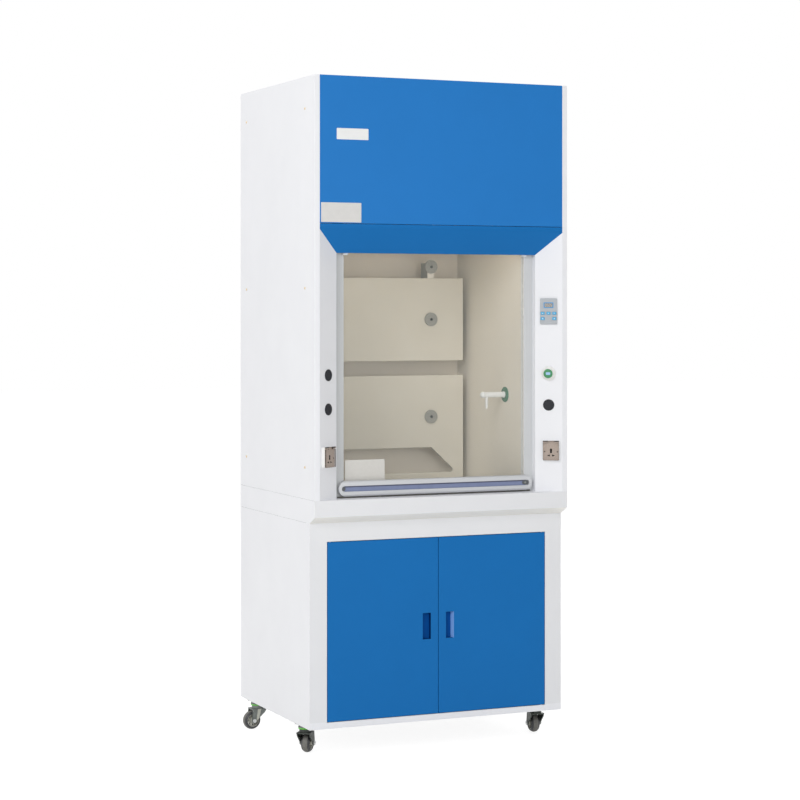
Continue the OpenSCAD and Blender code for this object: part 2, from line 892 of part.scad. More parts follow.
// Two cheeks hung from the top panel, with the axle across them
module pulley_bracket(y) {
    both_sides()
        translate([bracket_in, y - bracket_l / 2, pulley_z - bracket_below])
        cube([bracket_t, bracket_l, top_under - pulley_z + bracket_below]);
    translate([-bracket_in - bracket_t, y, pulley_z])
        rotate([0, 90, 0]) cylinder(d = axle_d, h = 2 * (bracket_in + bracket_t));
}

module pulley_brackets()
    color(steel)
    for (y = [front_pulley_y, rear_pulley_y])
        both_sides() translate([cable_x, 0, 0]) pulley_bracket(y);

module counterweights()
    color("#6d7276")
    both_sides()
    translate([cable_x - weight_w / 2, cable_rear_y - weight_d / 2, weight_top - weight_h])
    cube([weight_w, weight_d, weight_h]);

// Water tap and cup sink

flange_edge_t = 0.6 * tap_flange_t;
flange_bevel = 5;

module faucet_flange()
    color("#4c8b72")
    translate(tap_pos)
    rotate([0, -90, 0])
    rotate_extrude()
    polygon([
        [0, 0], [tap_flange_d / 2, 0], [tap_flange_d / 2, flange_edge_t],
        [tap_flange_d / 2 - flange_bevel, tap_flange_t], [0, tap_flange_t]
    ]);

// The tube's collar on the flange, bevelled down to the tube
collar_step = 1.5;
collar_edge = 3;
spout_end = spout_l - spout_head_d / 2;

// Half section of the tube and its round end, which share one axis
module spout_section() {
    polygon([
        [0, 0], [spout_d / 2 + collar_step, 0], [spout_d / 2 + collar_step, collar_edge],
        [spout_d / 2, collar_edge + collar_step], [spout_d / 2, spout_end], [0, spout_end]
    ]);
    intersection() {
        translate([0, spout_end]) circle(d = spout_head_d);
        square([spout_head_d, spout_l]);
    }
}

nozzle_d = 9;
// Length of the smooth neck under the tube
nozzle_neck = 4;
barb_count = 4;
barb_rise = 0.8;
// Taper of the nozzle's radius from one barb to the next
barb_step = 0.35;
// Share of the pitch that a barb's slope takes
barb_slope = 0.95;

// Level tube with a round end, and a barbed nozzle that hangs from it over the sink
module faucet_spout()
    color("#f2f2ee")
    translate(tap_pos - [tap_flange_t, 0, 0]) {
        rotate([0, -90, 0]) rotate_extrude() spout_section();
        translate([-spout_l + nozzle_back, 0, 0])
            mirror([0, 0, 1])
            rotate_extrude()
            polygon(concat([[0, 0]], nozzle_profile(spout_d / 2 + nozzle_neck), [[0, nozzle_l]]));
    }

// Radius and depth along the nozzle, its barbs starting at the depth from
function nozzle_profile(from) =
    let (pitch = (nozzle_l - from) / barb_count)
    concat(
        [[nozzle_d / 2, 0], [nozzle_d / 2, from]],
        [for (i = [0 : barb_count - 1])
            let (r = nozzle_d / 2 - i * barb_step)
            for (p = [
                [r + barb_rise, from + i * pitch],
                [r - barb_step, from + (i + barb_slope) * pitch]
            ]) p],
        [[nozzle_d / 2 - barb_count * barb_step, nozzle_l]]
    );

sink_lip = 10;
sink_lip_t = 3;
sink_rim = sink_wall + sink_lip;
sink_hole_w = sink_w + 2 * sink_wall + 2 * fixing;

module sink_place(z) translate([sink_x, tap_pos[1], z]) rotate([0, 0, 90]) children();

module cup_sink()
    color("#3f4347")
    difference() {
        union() {
            sink_place(worktop_z)
                long_round(sink_l + 2 * sink_rim, sink_w + 2 * sink_rim, sink_lip_t);
            sink_place(worktop_z - sink_depth)
                long_round(sink_l + 2 * sink_wall, sink_w + 2 * sink_wall, sink_depth + sink_lip_t);
            sink_place(worktop_z - sink_depth - outlet_l) cylinder(d = outlet_d, h = outlet_l + past);
        }
        sink_place(worktop_z - sink_depth + sink_wall)
            long_round(sink_l, sink_w, sink_depth + past + sink_lip_t);
        sink_place(worktop_z - sink_depth - outlet_l - past)
            cylinder(d = outlet_d - 2 * sink_wall, h = outlet_l + sink_wall + 2 * past);
    }

// Controls on the columns

display_rise = 20;
window_d = 1;
window_r = 1.5;
panel_r = 3;
key_r = 1.5;
keys_drop = [7, 25];
well_d = key_travel + 2;
key_d = 4.5;

// Key number i counts along the upper row of three, then the lower row of two
function key_place(i) =
    i < 3 ? [(i - 1) * key_pitch_x, -keys_drop[0]]
          : [(i == 3 ? -1 : 1) * key_pitch_x, -keys_drop[0] - key_pitch_z];

module on_panel() on_column(1, column_face / 2, worktop_z + panel_z) children();

// Rounded plate standing on a column's face, t thick
module plate(w, h, t, r)
    rotate([90, 0, 0]) linear_extrude(t) polygon(rounded(box_outline(w, h), r));

module control_panel()
    color("#b3b7bc")
    on_panel()
    difference() {
        plate(panel_w, panel_h, panel_t, panel_r);
        translate([0, -panel_t + window_d, display_rise])
            plate(display_w, display_h, window_d + past, window_r);
        for (i = [0 : 4])
            translate([key_place(i)[0], -panel_t + well_d, key_place(i)[1]])
                plate(key_w + 2 * key_gap, key_h + 2 * key_gap, well_d + past, key_r + key_gap);
    }

module key(i)
    color("#5bb8e0")
    on_panel()
    translate([key_place(i)[0], -panel_t + well_d - key_travel - key_gap, key_place(i)[1]])
    plate(key_w, key_h, key_d, key_r);

module key_1() key(0);

module key_2() key(1);

module key_3() key(2);

module key_4() key(3);

module key_5() key(4);

knob_lift = 1;
knob_skirt_t = 5;
knob_skirt_slope = 8;
spindle_in = 20;
knob_cap_step = 3;
knob_cap_t = 2;
flute_count = 12;
flute_d = 5;

// Skirted knob with a fluted grip, a flat cap on its end and the valve spindle behind it
module water_knob()
    on_column(1, column_face / 2, worktop_z + knob_z)
    rotate([90, 0, 0]) {
        color(white)
            difference() {
                union() {
                    translate([0, 0, -spindle_in]) cylinder(d = spindle_d, h = spindle_in + knob_lift + past);
                    translate([0, 0, knob_lift])
                        cylinder(d1 = knob_skirt_d, d2 = knob_skirt_d - knob_skirt_slope, h = knob_skirt_t);
                    translate([0, 0, knob_lift]) cylinder(d = knob_d, h = knob_l - knob_lift - knob_cap_t);
                }
                for (i = [0 : flute_count - 1])
                    rotate([0, 0, i * 360 / flute_count])
                        translate([knob_d / 2 + flute_d / 4, 0, knob_lift + knob_skirt_t + 2])
                        cylinder(d = flute_d, h = knob_l);
            }
        color("#3f8f5f")
            translate([0, 0, knob_l - knob_cap_t]) cylinder(d = knob_d - knob_cap_step, h = knob_cap_t);
    }

plug_t = 3;
plug_neck_l = 8;
plug_bevel = 2;
plug_rim = 7;
plug_dish = 1;

// Stepped plug with a dished face in a column's hole
module hole_plug(side, z)
    on_column(side, column_face / 2, z)
    rotate([90, 0, 0])
    rotate_extrude()
    polygon([
        [0, -plug_neck_l], [plug_neck_d / 2, -plug_neck_l], [plug_neck_d / 2, 0], [plug_d / 2, 0],
        [plug_d / 2, plug_t - plug_bevel / 2], [plug_d / 2 - plug_bevel, plug_t],
        [plug_d / 2 - plug_rim, plug_t], [plug_d / 2 - plug_rim - plug_dish, plug_t - plug_dish],
        [0, plug_t - plug_dish]
    ]);

module hole_plugs()
    color("#2f3033") {
        hole_plug(-1, worktop_z + plug_high_z);
        hole_plug(-1, worktop_z + plug_low_z);
        hole_plug(1, worktop_z + plug_low_z);
    }

cover_gap = 0.5;
cover_pin_d = 2.5;
cover_pin_drop = 3;
// Hinge ears at both ends of the top edge, each this share of the socket's width
ear_w = 0.29 * socket_w;
ear_h = 2 * cover_pin_drop;
ear_d = cover_gap + cover_t;
// The cover's shoulders stay outside the circle that the corners of the ears lie on
ear_reach = norm([ear_h - cover_pin_drop, cover_t / 2]);
socket_r = 3;
cover_r = 2;
cover_lap = 2;
pin_end = 1;
slot_d = 8;
// Upright earth slot just under the socket's middle
earth_w = 4.5;
earth_h = 13;
earth_r = 1;
earth_drop = 1;
// Three-sided pin slots under it, which point outwards
pin_slot_w = 7.5;
pin_slot_h = 5;
pin_slot_x = 8.4;
pin_slot_drop = 16.4;

// The cover turns about this line, out from the base and down from its top
cover_axis = [-socket_t - cover_gap - cover_t / 2, socket_h / 2 - cover_pin_drop];

shoulder_z = cover_axis[1] - ear_reach - cover_gap;

module on_socket(side) on_column(side, socket_along, worktop_z + socket_z) children();

// Socket base with pin slots and two ears that carry the cover
module socket(side)
    on_socket(side) {
        difference() {
            plate(socket_w, socket_h, socket_t, socket_r);
            translate([0, -socket_t + slot_d, -earth_drop])
                plate(earth_w, earth_h, slot_d + past, earth_r);
            both_sides()
                along_y(-socket_t - past, -socket_t + slot_d)
                translate([pin_slot_x, -pin_slot_drop])
                polygon([
                    [pin_slot_w / 2, 0], [-pin_slot_w / 2, pin_slot_h / 2],
                    [-pin_slot_w / 2, -pin_slot_h / 2]
                ]);
        }
        both_sides()
            difference() {
                translate([socket_w / 2 - ear_w, -socket_t - ear_d, socket_h / 2 - ear_h])
                    cube([ear_w, ear_d, ear_h]);
                translate([socket_w / 2 - ear_w - past, cover_axis[0], cover_axis[1]])
                    rotate([0, 90, 0]) cylinder(d = cover_pin_d + 2 * running, h = ear_w + 2 * past);
            }
    }

module sockets()
    color(white) {
        socket(-1);
        socket(1);
    }

// Flat cover with its pins in the ears, rounded about its axis so that it clears the base
module socket_cover(side)
    color("#8d837c", 0.75)
    on_socket(side) {
        difference() {
            translate([0, -socket_t - cover_gap, 0]) plate(socket_w, socket_h - cover_lap, cover_t, cover_r);
            both_sides()
                translate([socket_w / 2 - ear_w - cover_gap, -socket_t - ear_d - past, shoulder_z])
                cube([ear_w + past, ear_d + 2 * past, socket_h]);
            translate([-socket_w / 2 - past, -socket_t - cover_gap - cover_t - past, cover_axis[1]])
                cube([socket_w + 2 * past, cover_t + 2 * past, socket_h]);
        }
        translate([-socket_w / 2 + ear_w + cover_gap, cover_axis[0], cover_axis[1]])
            rotate([0, 90, 0]) cylinder(d = cover_t, h = socket_w - 2 * (ear_w + cover_gap));
        translate([-socket_w / 2 + pin_end, cover_axis[0], cover_axis[1]])
            rotate([0, 90, 0]) cylinder(d = cover_pin_d, h = socket_w - 2 * pin_end);
    }

module left_socket_cover() socket_cover(-1);

module right_socket_cover() socket_cover(1);

// Blower

duct_top = top_under - sheet;

// Scroll outline drawn in by t, in depth and height, with its outlet duct up to the top panel
function scroll(t, top) = concat(
    [for (a = [tongue_angle : 10 : 360])
        let (r = scroll_start + scroll_growth * (a - tongue_angle) / (360 - tongue_angle) - t)
        [blower_y + r * cos(a), blower_z + r * sin(a)]],
    [[duct_out - t, top], [duct_in + t, top]]
);

foot_w = 160;
foot_t = 25;
outlet_margin = 10;
outlet_half = collar_r + outlet_margin;
shaft_hole_gap = 5;

// Spiral housing on two feet, with an inlet in one side and a flanged outlet under the collar
module blower_housing()
    color("#9aa1a6") {
        difference() {
            union() {
                along_x(scroll_w) polygon(scroll(0, duct_top));
                translate([-outlet_half, collar_y - outlet_half, duct_top])
                    cube([2 * outlet_half, 2 * outlet_half, sheet]);
            }
            along_x(scroll_w - 2 * sheet) polygon(scroll(sheet, top_under + past));
            translate([0, blower_y, blower_z])
                rotate([0, 90, 0]) cylinder(d = inlet_d, h = scroll_w);
            translate([-scroll_w, blower_y, blower_z])
                rotate([0, 90, 0]) cylinder(d = shaft_d + 2 * shaft_hole_gap, h = scroll_w);
        }
        both_sides()
            translate([scroll_w / 2 - sheet, blower_y - foot_w / 2, ceiling_top]) {
                cube([foot_t, foot_w, sheet]);
                difference() {
                    cube([sheet, foot_w, blower_rise]);
                    translate([-past, foot_w / 2, blower_rise])
                        rotate([0, 90, 0]) cylinder(d = inlet_d, h = sheet + 2 * past);
                }
            }
    }

motor_flange = 6;
motor_flange_w = 10;
motor_bore_end = 20;
fin_sink = 4;
motor_cap = 25;
fin_count = 24;
fin_h = 10;
fin_t = 3;

module blower_motor()
    color("#6f7a84")
    translate([-scroll_w / 2, blower_y, blower_z])
    rotate([0, -90, 0])
    difference() {
        union() {
            cylinder(d = motor_d + 2 * motor_flange_w, h = motor_flange);
            cylinder(d = motor_d - 2 * fin_h - 2 * past, h = motor_l);
            for (i = [0 : fin_count - 1])
                rotate([0, 0, i * 360 / fin_count])
                    translate([motor_d / 2 - fin_h - fin_sink, -fin_t / 2, motor_flange - past])
                    cube([fin_h, fin_t, motor_l - motor_flange - motor_cap + 2 * past]);
            translate([0, 0, motor_l - motor_cap]) cylinder(d = motor_d, h = motor_cap);
        }
        translate([0, 0, -past]) cylinder(d = shaft_d + 2 * running, h = motor_l - motor_bore_end);
    }

hub_d = 50;
hub_l = 40;
plate_thick = 3;
blade_t = 1.2;
// Places along a blade's depth and how far it has curved forward there
blade_bend = [[0.45, 2], [0.75, 6]];
blade_tip = [4, 11];
shaft_tip_gap = 10;
// The shaft ends this far short of the motor's rear end
shaft_end = motor_bore_end + shaft_tip_gap;
shaft_l = scroll_w / 2 - impeller_w / 2 + motor_l - shaft_end;

// Squirrel-cage wheel: back plate with hub and shaft, front ring, forward-curved blades between them
module impeller()
    color("#b9bec2")
    translate([-impeller_w / 2, blower_y, blower_z])
    rotate([0, 90, 0]) {
        cylinder(r = impeller_r, h = plate_thick);
        cylinder(d = hub_d, h = hub_l);
        translate([0, 0, -shaft_l]) cylinder(d = shaft_d, h = shaft_l + hub_l - past);
        translate([0, 0, impeller_w - plate_thick])
            difference() {
                cylinder(r = impeller_r, h = plate_thick);
                translate([0, 0, -past]) cylinder(r = impeller_r - blade_depth, h = plate_thick + 2 * past);
            }
        for (i = [0 : blade_count - 1])
            rotate([0, 0, i * 360 / blade_count])
                translate([impeller_r - blade_depth + past, 0, plate_thick / 2])
                linear_extrude(impeller_w - plate_thick)
                polygon(folded(concat(
                    [[0, 0]],
                    [for (bend = blade_bend) [blade_depth * bend[0], bend[1]]],
                    [[blade_depth - blade_tip[0], blade_tip[1]]]
                ), blade_t));
    }

// Worktop frame and base cabinet

bench_outline = [
    [y_front, bench_z + bench_h - sill_h], [base_front, bench_z], [y_rear, bench_z],
    [y_rear, worktop_z], [y_front, worktop_z]
];
bench_flange = 30;

// Hollow white frame with a bevelled sill in front, open under the worktop, with a ledge that carries it
module bench_frame()
    color(white) {
        difference() {
            along_x(hood_w) polygon(bench_outline);
            along_x(hood_w - 2 * sheet) polygon(inset(bench_outline, sheet));
            translate([-deck_half, deck_front, worktop_z - sheet - past])
                cube([2 * deck_half, deck_rear - deck_front, sheet + 2 * past]);
            translate([-hood_w / 2 + bench_flange, base_front + bench_flange, bench_z - past])
                cube([hood_w - 2 * bench_flange, y_rear - base_front - 2 * bench_flange, sheet + 2 * past]);
        }
        difference() {
            translate([-deck_half - sheet, deck_front - sheet, worktop_z - worktop_t - sheet])
                cube([2 * (deck_half + sheet), deck_rear - deck_front + 2 * sheet, worktop_t + sheet]);
            translate([-deck_half, deck_front, worktop_z - worktop_t])
                cube([2 * deck_half, deck_rear - deck_front, worktop_t + past]);
            translate([-deck_half + ledge_w, deck_front + ledge_w, worktop_z - worktop_t - sheet - past])
                cube([2 * (deck_half - ledge_w), deck_rear - deck_front - 2 * ledge_w, worktop_t]);
        }
    }

module worktop()
    color("#c9c7bf")
    difference() {
        translate([-deck_half + fixing, deck_front + fixing, worktop_z - worktop_t])
            cube([2 * (deck_half - fixing), deck_rear - deck_front - 2 * fixing, worktop_t]);
        sink_place(worktop_z - worktop_t - past)
            long_round(sink_l + 2 * (sink_wall + fixing), sink_hole_w, worktop_t + 2 * past);
    }

module base_side_panels()
    color(white)
    both_sides()
    side_panel(base_z, bench_z, base_front + frame_d);

module base_rear_panel() color(white) rear_sheet(base_z, bench_z);

rail_w = 76;

// Cabinet floor with two channels under it that carry the casters
module base_floor()
    color(white) {
        translate([-skin_x, base_front + frame_d + sheet, base_floor_z - sheet])
            cube([2 * skin_x, y_rear - base_front - frame_d - 3 * sheet, sheet]);
        translate([-inner_x, base_front + frame_d, base_floor_z - sheet])
            cube([2 * inner_x, rail_w, sheet]);
        for (y = [caster_front_y, caster_rear_y])
            translate([-inner_x, y - rail_w / 2, base_z])
                difference() {
                    cube([2 * inner_x, rail_w, bottom_rail_h - sheet]);
                    translate([-past, sheet, sheet])
                        cube([2 * (inner_x + past), rail_w - 2 * sheet, bottom_rail_h]);
                }
    }

// Folded ring round the doors, open at the back, with the pins that the doors turn on
module base_front_frame()
    color(white) {
        translate([0, base_front, 0]) door_surround();
        both_sides()
            for (z = [base_floor_z, open_top - door_pin_l])
                translate([door_pin_x, door_pin_y, z]) cylinder(d = door_pin_d, h = door_pin_l);
    }

module door_surround()
    difference() {
        translate([-hood_w / 2, 0, base_z]) cube([hood_w, frame_d, bench_z - base_z]);
        translate([-open_half, -past, base_floor_z])
            cube([2 * open_half, frame_d + 2 * past, open_top - base_floor_z]);
        difference() {
            translate([-hood_w / 2 + sheet, sheet, base_z + sheet])
                cube([hood_w - 2 * sheet, frame_d, bench_z - base_z - 2 * sheet]);
            translate([-open_half - sheet, 0, base_floor_z - sheet])
                cube([2 * (open_half + sheet), frame_d + past, open_top - base_floor_z + 2 * sheet]);
        }
    }

boss = [2 * (door_pin_edge - sheet), 2 * door_pin_front + 1, door_pin_l + 2];
pull_in = pull_x - pull_w / 2;
pull_out = pull_x + pull_w / 2;
stiffener_w = 60;
stiffener_shift = 20;
stiffener_end = 40;
stiffener_d = door_t - 3;

// Pull pocket in plan from a depth to its floor, the outer wall leaning in
function pull_outline(from) = [
    [pull_in, from], [pull_out - pull_lean * from / pull_d, from],
    [pull_out - pull_lean, pull_d], [pull_in, pull_d]
];

// Folded door of the right side: skin with folded edges, pull pocket, stiffener and pin bosses
module door_right()
    difference() {
        union() {
            translate([door_gap / 2, base_front, door_z])
                difference() {
                    cube([door_half - door_gap / 2, door_t, door_top - door_z]);
                    translate([sheet, sheet, sheet])
                        cube([door_half - door_gap / 2 - 2 * sheet, door_t, door_top - door_z - 2 * sheet]);
                }
            translate([0, base_front, pull_z - pull_h / 2 - sheet])
                linear_extrude(pull_h + 2 * sheet) polygon(inset(pull_outline(sheet), -sheet));
            translate([door_half / 2 + stiffener_shift, base_front, door_z + stiffener_end])
                difference() {
                    cube([stiffener_w, stiffener_d, door_top - door_z - 2 * stiffener_end]);
                    translate([sheet, -past, -past])
                        cube([stiffener_w - 2 * sheet, stiffener_d - sheet + past, door_top]);
                }
            for (z = [door_z, door_top - boss[2]])
                translate([door_half - boss[0], base_front, z]) cube(boss);
        }
        translate([0, base_front, pull_z - pull_h / 2])
            linear_extrude(pull_h) polygon(pull_outline(-past));
        translate([door_pin_x, door_pin_y, door_z - past])
            cylinder(d = door_pin_d + 2 * running, h = door_pin_l + past);
        translate([door_pin_x, door_pin_y, door_top - door_pin_l])
            cylinder(d = door_pin_d + 2 * running, h = door_pin_l + past);
    }

module right_door() color(blue) door_right();

module left_door() color(blue) mirror([1, 0, 0]) door_right();

// Casters, drawn with the swivel axis at the origin and the wheel trailing towards +X

module caster_place(side, y) translate([side * caster_x, y, 0]) children();

raceway_d = 42;
raceway_h = 12;
raceway_z = base_z - plate_t - raceway_h;
flange_rise = 2;
flange_t = 3;
seal_gap = 0.5;
king_pin_d = 12;
king_pin_reach = 10;

module caster_plate() {
    color(steel)
        difference() {
            union() {
                translate([-plate_half, -plate_half, base_z - plate_t])
                    cube([2 * plate_half, 2 * plate_half, plate_t]);
                translate([0, 0, raceway_z]) cylinder(d = raceway_d, h = raceway_h + past);
                translate([0, 0, raceway_z + flange_rise]) cylinder(d = seal_d, h = flange_t);
            }
            translate([0, 0, raceway_z - past]) cylinder(d = king_pin_d + 2 * running, h = raceway_h + past);
        }
    color("#6fd34a")
        translate([0, 0, fork_top + seal_gap])
        difference() {
            cylinder(d = seal_d, h = raceway_z + flange_rise - fork_top - seal_gap);
            translate([0, 0, -past]) cylinder(d = raceway_d + 2 * fixing, h = swivel_h);
        }
}

module caster_plates()
    for (side = [-1, 1], y = [caster_front_y, caster_rear_y]) caster_place(side, y) caster_plate();

crown_l = 50;
crown_t = 4;
leg_end = 9;
bolt_head = 4;
bolt_head_r = 6.5;
leg_slope = [6, 8];
// Rim folded inwards along the trailing edge of a leg, down to just over the hub's boss
rim_gap = 1;
rim_foot = wheel_r + leg_end + fork_wall;

// Place of a leg's trailing edge at a height
function rim_end(z) = crown_l / 2 + (trail + leg_end - crown_l / 2) * (fork_under - z) / (fork_under - wheel_r);

// Fork with two legs, king pin and wheel axle
module fork() {
    translate([0, 0, fork_under]) {
        translate([-crown_l / 2, -fork_out, 0]) cube([crown_l, 2 * fork_out, crown_t]);
        cylinder(d = raceway_d - 2, h = fork_top - fork_under);
        cylinder(d = king_pin_d, h = raceway_z + king_pin_reach - fork_under);
    }
    for (y = [fork_out, -fork_in])
        translate([0, y, 0])
            rotate([90, 0, 0])
            linear_extrude(fork_wall)
            union() {
                polygon([
                    [-crown_l / 2, fork_under + crown_t],
                    [-crown_l / 2 + leg_slope[0], fork_under - leg_slope[1]],
                    [trail - leg_end, wheel_r], [trail + leg_end, wheel_r],
                    [crown_l / 2, fork_under], [crown_l / 2, fork_under + crown_t]
                ]);
                translate([trail, wheel_r]) circle(r = leg_end);
            }
    for (y = [fork_in, -wheel_w / 2 - rim_gap])
        translate([0, y, 0])
            rotate([90, 0, 0])
            linear_extrude(wheel_side_gap - rim_gap)
            polygon([
                [crown_l / 2 - fork_wall, fork_under + past], [crown_l / 2, fork_under + past],
                [rim_end(rim_foot), rim_foot], [rim_end(rim_foot) - fork_wall, rim_foot]
            ]);
    translate([trail, fork_out + bolt_head, wheel_r]) rotate([90, 0, 0]) {
        cylinder(r = bolt_head_r, h = bolt_head, $fn = 6);
        cylinder(r = wheel_axle_r, h = 2 * (fork_out + bolt_head));
        translate([0, 0, 2 * fork_out + bolt_head]) cylinder(r = bolt_head_r, h = bolt_head, $fn = 6);
    }
}

tyre_t = 9.5;
hub_r = wheel_r - tyre_t;
hub_boss_r = 9;
boss_gap = 0.5;
boss_l = 2 * (fork_in - boss_gap);
hub_rim_t = 2.5;
hub_web_t = 8;
hub_step = 2;
spoke_count = 8;
spoke_edge = 1.5;
spoke_half = 4.5;
spoke_out = hub_r - hub_rim_t - spoke_edge;
tread_r = 18;

// Half section of the hub: boss out to the fork's legs, web and rim
module hub_section() {
    translate([0, -boss_l / 2]) square([hub_boss_r, boss_l]);
    translate([0, -hub_web_t / 2]) square([hub_r, hub_web_t]);
    translate([hub_r - hub_rim_t, -wheel_w / 2 + hub_step])
        square([hub_rim_t + past, wheel_w - 2 * hub_step]);
}

// Half section of the tyre, with a crowned tread
module tyre_section()
    intersection() {
        translate([hub_r, -wheel_w / 2]) square([tyre_t, wheel_w]);
        translate([wheel_r - tread_r, 0]) circle(r = tread_r);
    }

// Hub with a ring of three-sided holes, and a tyre with a rounded tread round it
module wheel()
    translate([trail, 0, wheel_r])
    rotate([90, 0, 0])
    difference() {
        rotate_extrude() {
            hub_section();
            tyre_section();
        }
        translate([0, 0, -wheel_w]) cylinder(r = wheel_axle_r + running, h = 2 * wheel_w);
        for (i = [0 : spoke_count - 1])
            rotate([0, 0, i * 360 / spoke_count])
                translate([0, 0, -wheel_w])
                linear_extrude(2 * wheel_w)
                polygon([
                    [hub_boss_r + spoke_edge, 0], [spoke_out, -spoke_half], [spoke_out, spoke_half]
                ]);
    }

fork_colour = "#7e8580";
wheel_colour = "#4a4b50";

// Caster of one corner, turned to its heading
module caster(side, y, turn) caster_place(side, y) rotate([0, 0, turn]) children();

module front_left_fork()
    color(fork_colour)
    caster(-1, caster_front_y, front_left_turn) fork();

module front_right_fork()
    color(fork_colour)
    caster(1, caster_front_y, front_right_turn) fork();

module rear_left_fork()
    color(fork_colour)
    caster(-1, caster_rear_y, rear_left_turn) fork();

module rear_right_fork()
    color(fork_colour)
    caster(1, caster_rear_y, rear_right_turn) fork();

module front_left_wheel()
    color(wheel_colour)
    caster(-1, caster_front_y, front_left_turn) wheel();

module front_right_wheel()
    color(wheel_colour)
    caster(1, caster_front_y, front_right_turn) wheel();

module rear_left_wheel()
    color(wheel_colour)
    caster(-1, caster_rear_y, rear_left_turn) wheel();

module rear_right_wheel()
    color(wheel_colour)
    caster(1, caster_rear_y, rear_right_turn) wheel();

left_side_panel();
right_side_panel();
rear_panel();
top_panel();
exhaust_collar();
upper_fascia();
lower_fascia();
left_column();
right_column();
side_liners();
rear_liner();
ceiling_liner();
lamp();
upper_baffle();
lower_baffle();
baffle_standoffs();
sash_guides();
faucet_flange();
faucet_spout();
control_panel();
hole_plugs();
sockets();
pulley_brackets();
blower_housing();
blower_motor();
bench_frame();
worktop();
cup_sink();
base_side_panels();
base_rear_panel();
base_floor();
base_front_frame();
caster_plates();
sash_pane();
sash_handle();
handle_inlay();
sash_clamps();
sash_cables();
counterweights();
front_pulleys();
rear_pulleys();
left_door();
right_door();
water_knob();
key_1();
key_2();
key_3();
key_4();
key_5();
left_socket_cover();
right_socket_cover();
impeller();
front_left_fork();
front_right_fork();
rear_left_fork();
rear_right_fork();
front_left_wheel();
front_right_wheel();
rear_left_wheel();
rear_right_wheel();
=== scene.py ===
import json
import math

import bmesh
import bpy
from mathutils import Matrix, Vector


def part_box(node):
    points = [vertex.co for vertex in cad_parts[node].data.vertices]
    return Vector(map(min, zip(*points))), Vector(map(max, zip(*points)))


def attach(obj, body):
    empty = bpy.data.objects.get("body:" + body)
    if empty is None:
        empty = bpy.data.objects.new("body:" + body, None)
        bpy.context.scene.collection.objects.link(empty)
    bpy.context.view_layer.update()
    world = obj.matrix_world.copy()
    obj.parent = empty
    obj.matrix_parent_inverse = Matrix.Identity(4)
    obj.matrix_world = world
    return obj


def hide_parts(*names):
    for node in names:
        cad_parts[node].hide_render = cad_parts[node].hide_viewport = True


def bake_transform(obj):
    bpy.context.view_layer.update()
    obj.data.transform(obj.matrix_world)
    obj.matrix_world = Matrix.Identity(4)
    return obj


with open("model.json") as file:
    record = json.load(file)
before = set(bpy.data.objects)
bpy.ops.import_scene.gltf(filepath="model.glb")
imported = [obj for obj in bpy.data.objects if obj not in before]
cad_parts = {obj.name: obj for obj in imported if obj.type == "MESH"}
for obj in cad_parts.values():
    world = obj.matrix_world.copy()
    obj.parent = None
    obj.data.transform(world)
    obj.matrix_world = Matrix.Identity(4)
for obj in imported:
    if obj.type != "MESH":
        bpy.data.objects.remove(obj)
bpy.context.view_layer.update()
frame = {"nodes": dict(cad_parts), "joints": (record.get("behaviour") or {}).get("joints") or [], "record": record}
scene = bpy.context.scene
MM = 0.001

# Camera, light and stage. Camera and lens were worked out from the picture's edges and vanishing points

camera = bpy.data.objects.new("camera", bpy.data.cameras.new("camera"))
camera.location = (-2.95592, -6.72425, 1.45375)
camera.rotation_euler = (math.radians(90), 0, math.radians(-23.71))
camera.data.lens = 96.54
camera.data.sensor_width = 36
# The picture was taken level, with the horizon above its middle
camera.data.shift_y = -0.11485
scene.collection.objects.link(camera)
scene.camera = camera
scene.view_settings.view_transform = "Standard"


def linear(code):
    """Linear colour of an sRGB hex value."""
    parts = [int(code[i:i + 2], 16) / 255 for i in (1, 3, 5)]
    return (*[c / 12.92 if c <= 0.04045 else ((c + 0.055) / 1.055) ** 2.4 for c in parts], 1)


def add(tree, kind, settings=None, inputs=None):
    """Adds a node with its settings; an input is a value, or the output it is linked from."""
    node = tree.nodes.new(kind)
    for name, value in (settings or {}).items():
        setattr(node, name, value)
    for name, value in (inputs or {}).items():
        if isinstance(value, bpy.types.NodeSocket):
            tree.links.new(value, node.inputs[name])
        else:
            node.inputs[name].default_value = value
    return node


def seen_directly(tree):
    """1 for what the camera sees itself, in a mirror or through glass."""
    path = add(tree, "ShaderNodeLightPath")
    first = add(tree, "ShaderNodeMath", {"operation": "MAXIMUM"},
                {0: path.outputs["Is Camera Ray"], 1: path.outputs["Is Glossy Ray"]})
    return add(tree, "ShaderNodeMath", {"operation": "MAXIMUM"},
               {0: first.outputs[0], 1: path.outputs["Is Transmission Ray"]}).outputs[0]


world = bpy.data.worlds.new("white studio")
world.use_nodes = True
world.node_tree.nodes.clear()
scene.world = world
room = add(world.node_tree, "ShaderNodeBackground", None, {"Color": (1, 1, 1, 1), "Strength": 0.455})
paper = add(world.node_tree, "ShaderNodeBackground", None, {"Color": (1, 1, 1, 1), "Strength": 1.0})
sky = add(world.node_tree, "ShaderNodeMixShader", None,
          {0: seen_directly(world.node_tree), 1: room.outputs[0], 2: paper.outputs[0]})
add(world.node_tree, "ShaderNodeOutputWorld", None, {"Surface": sky.outputs[0]})

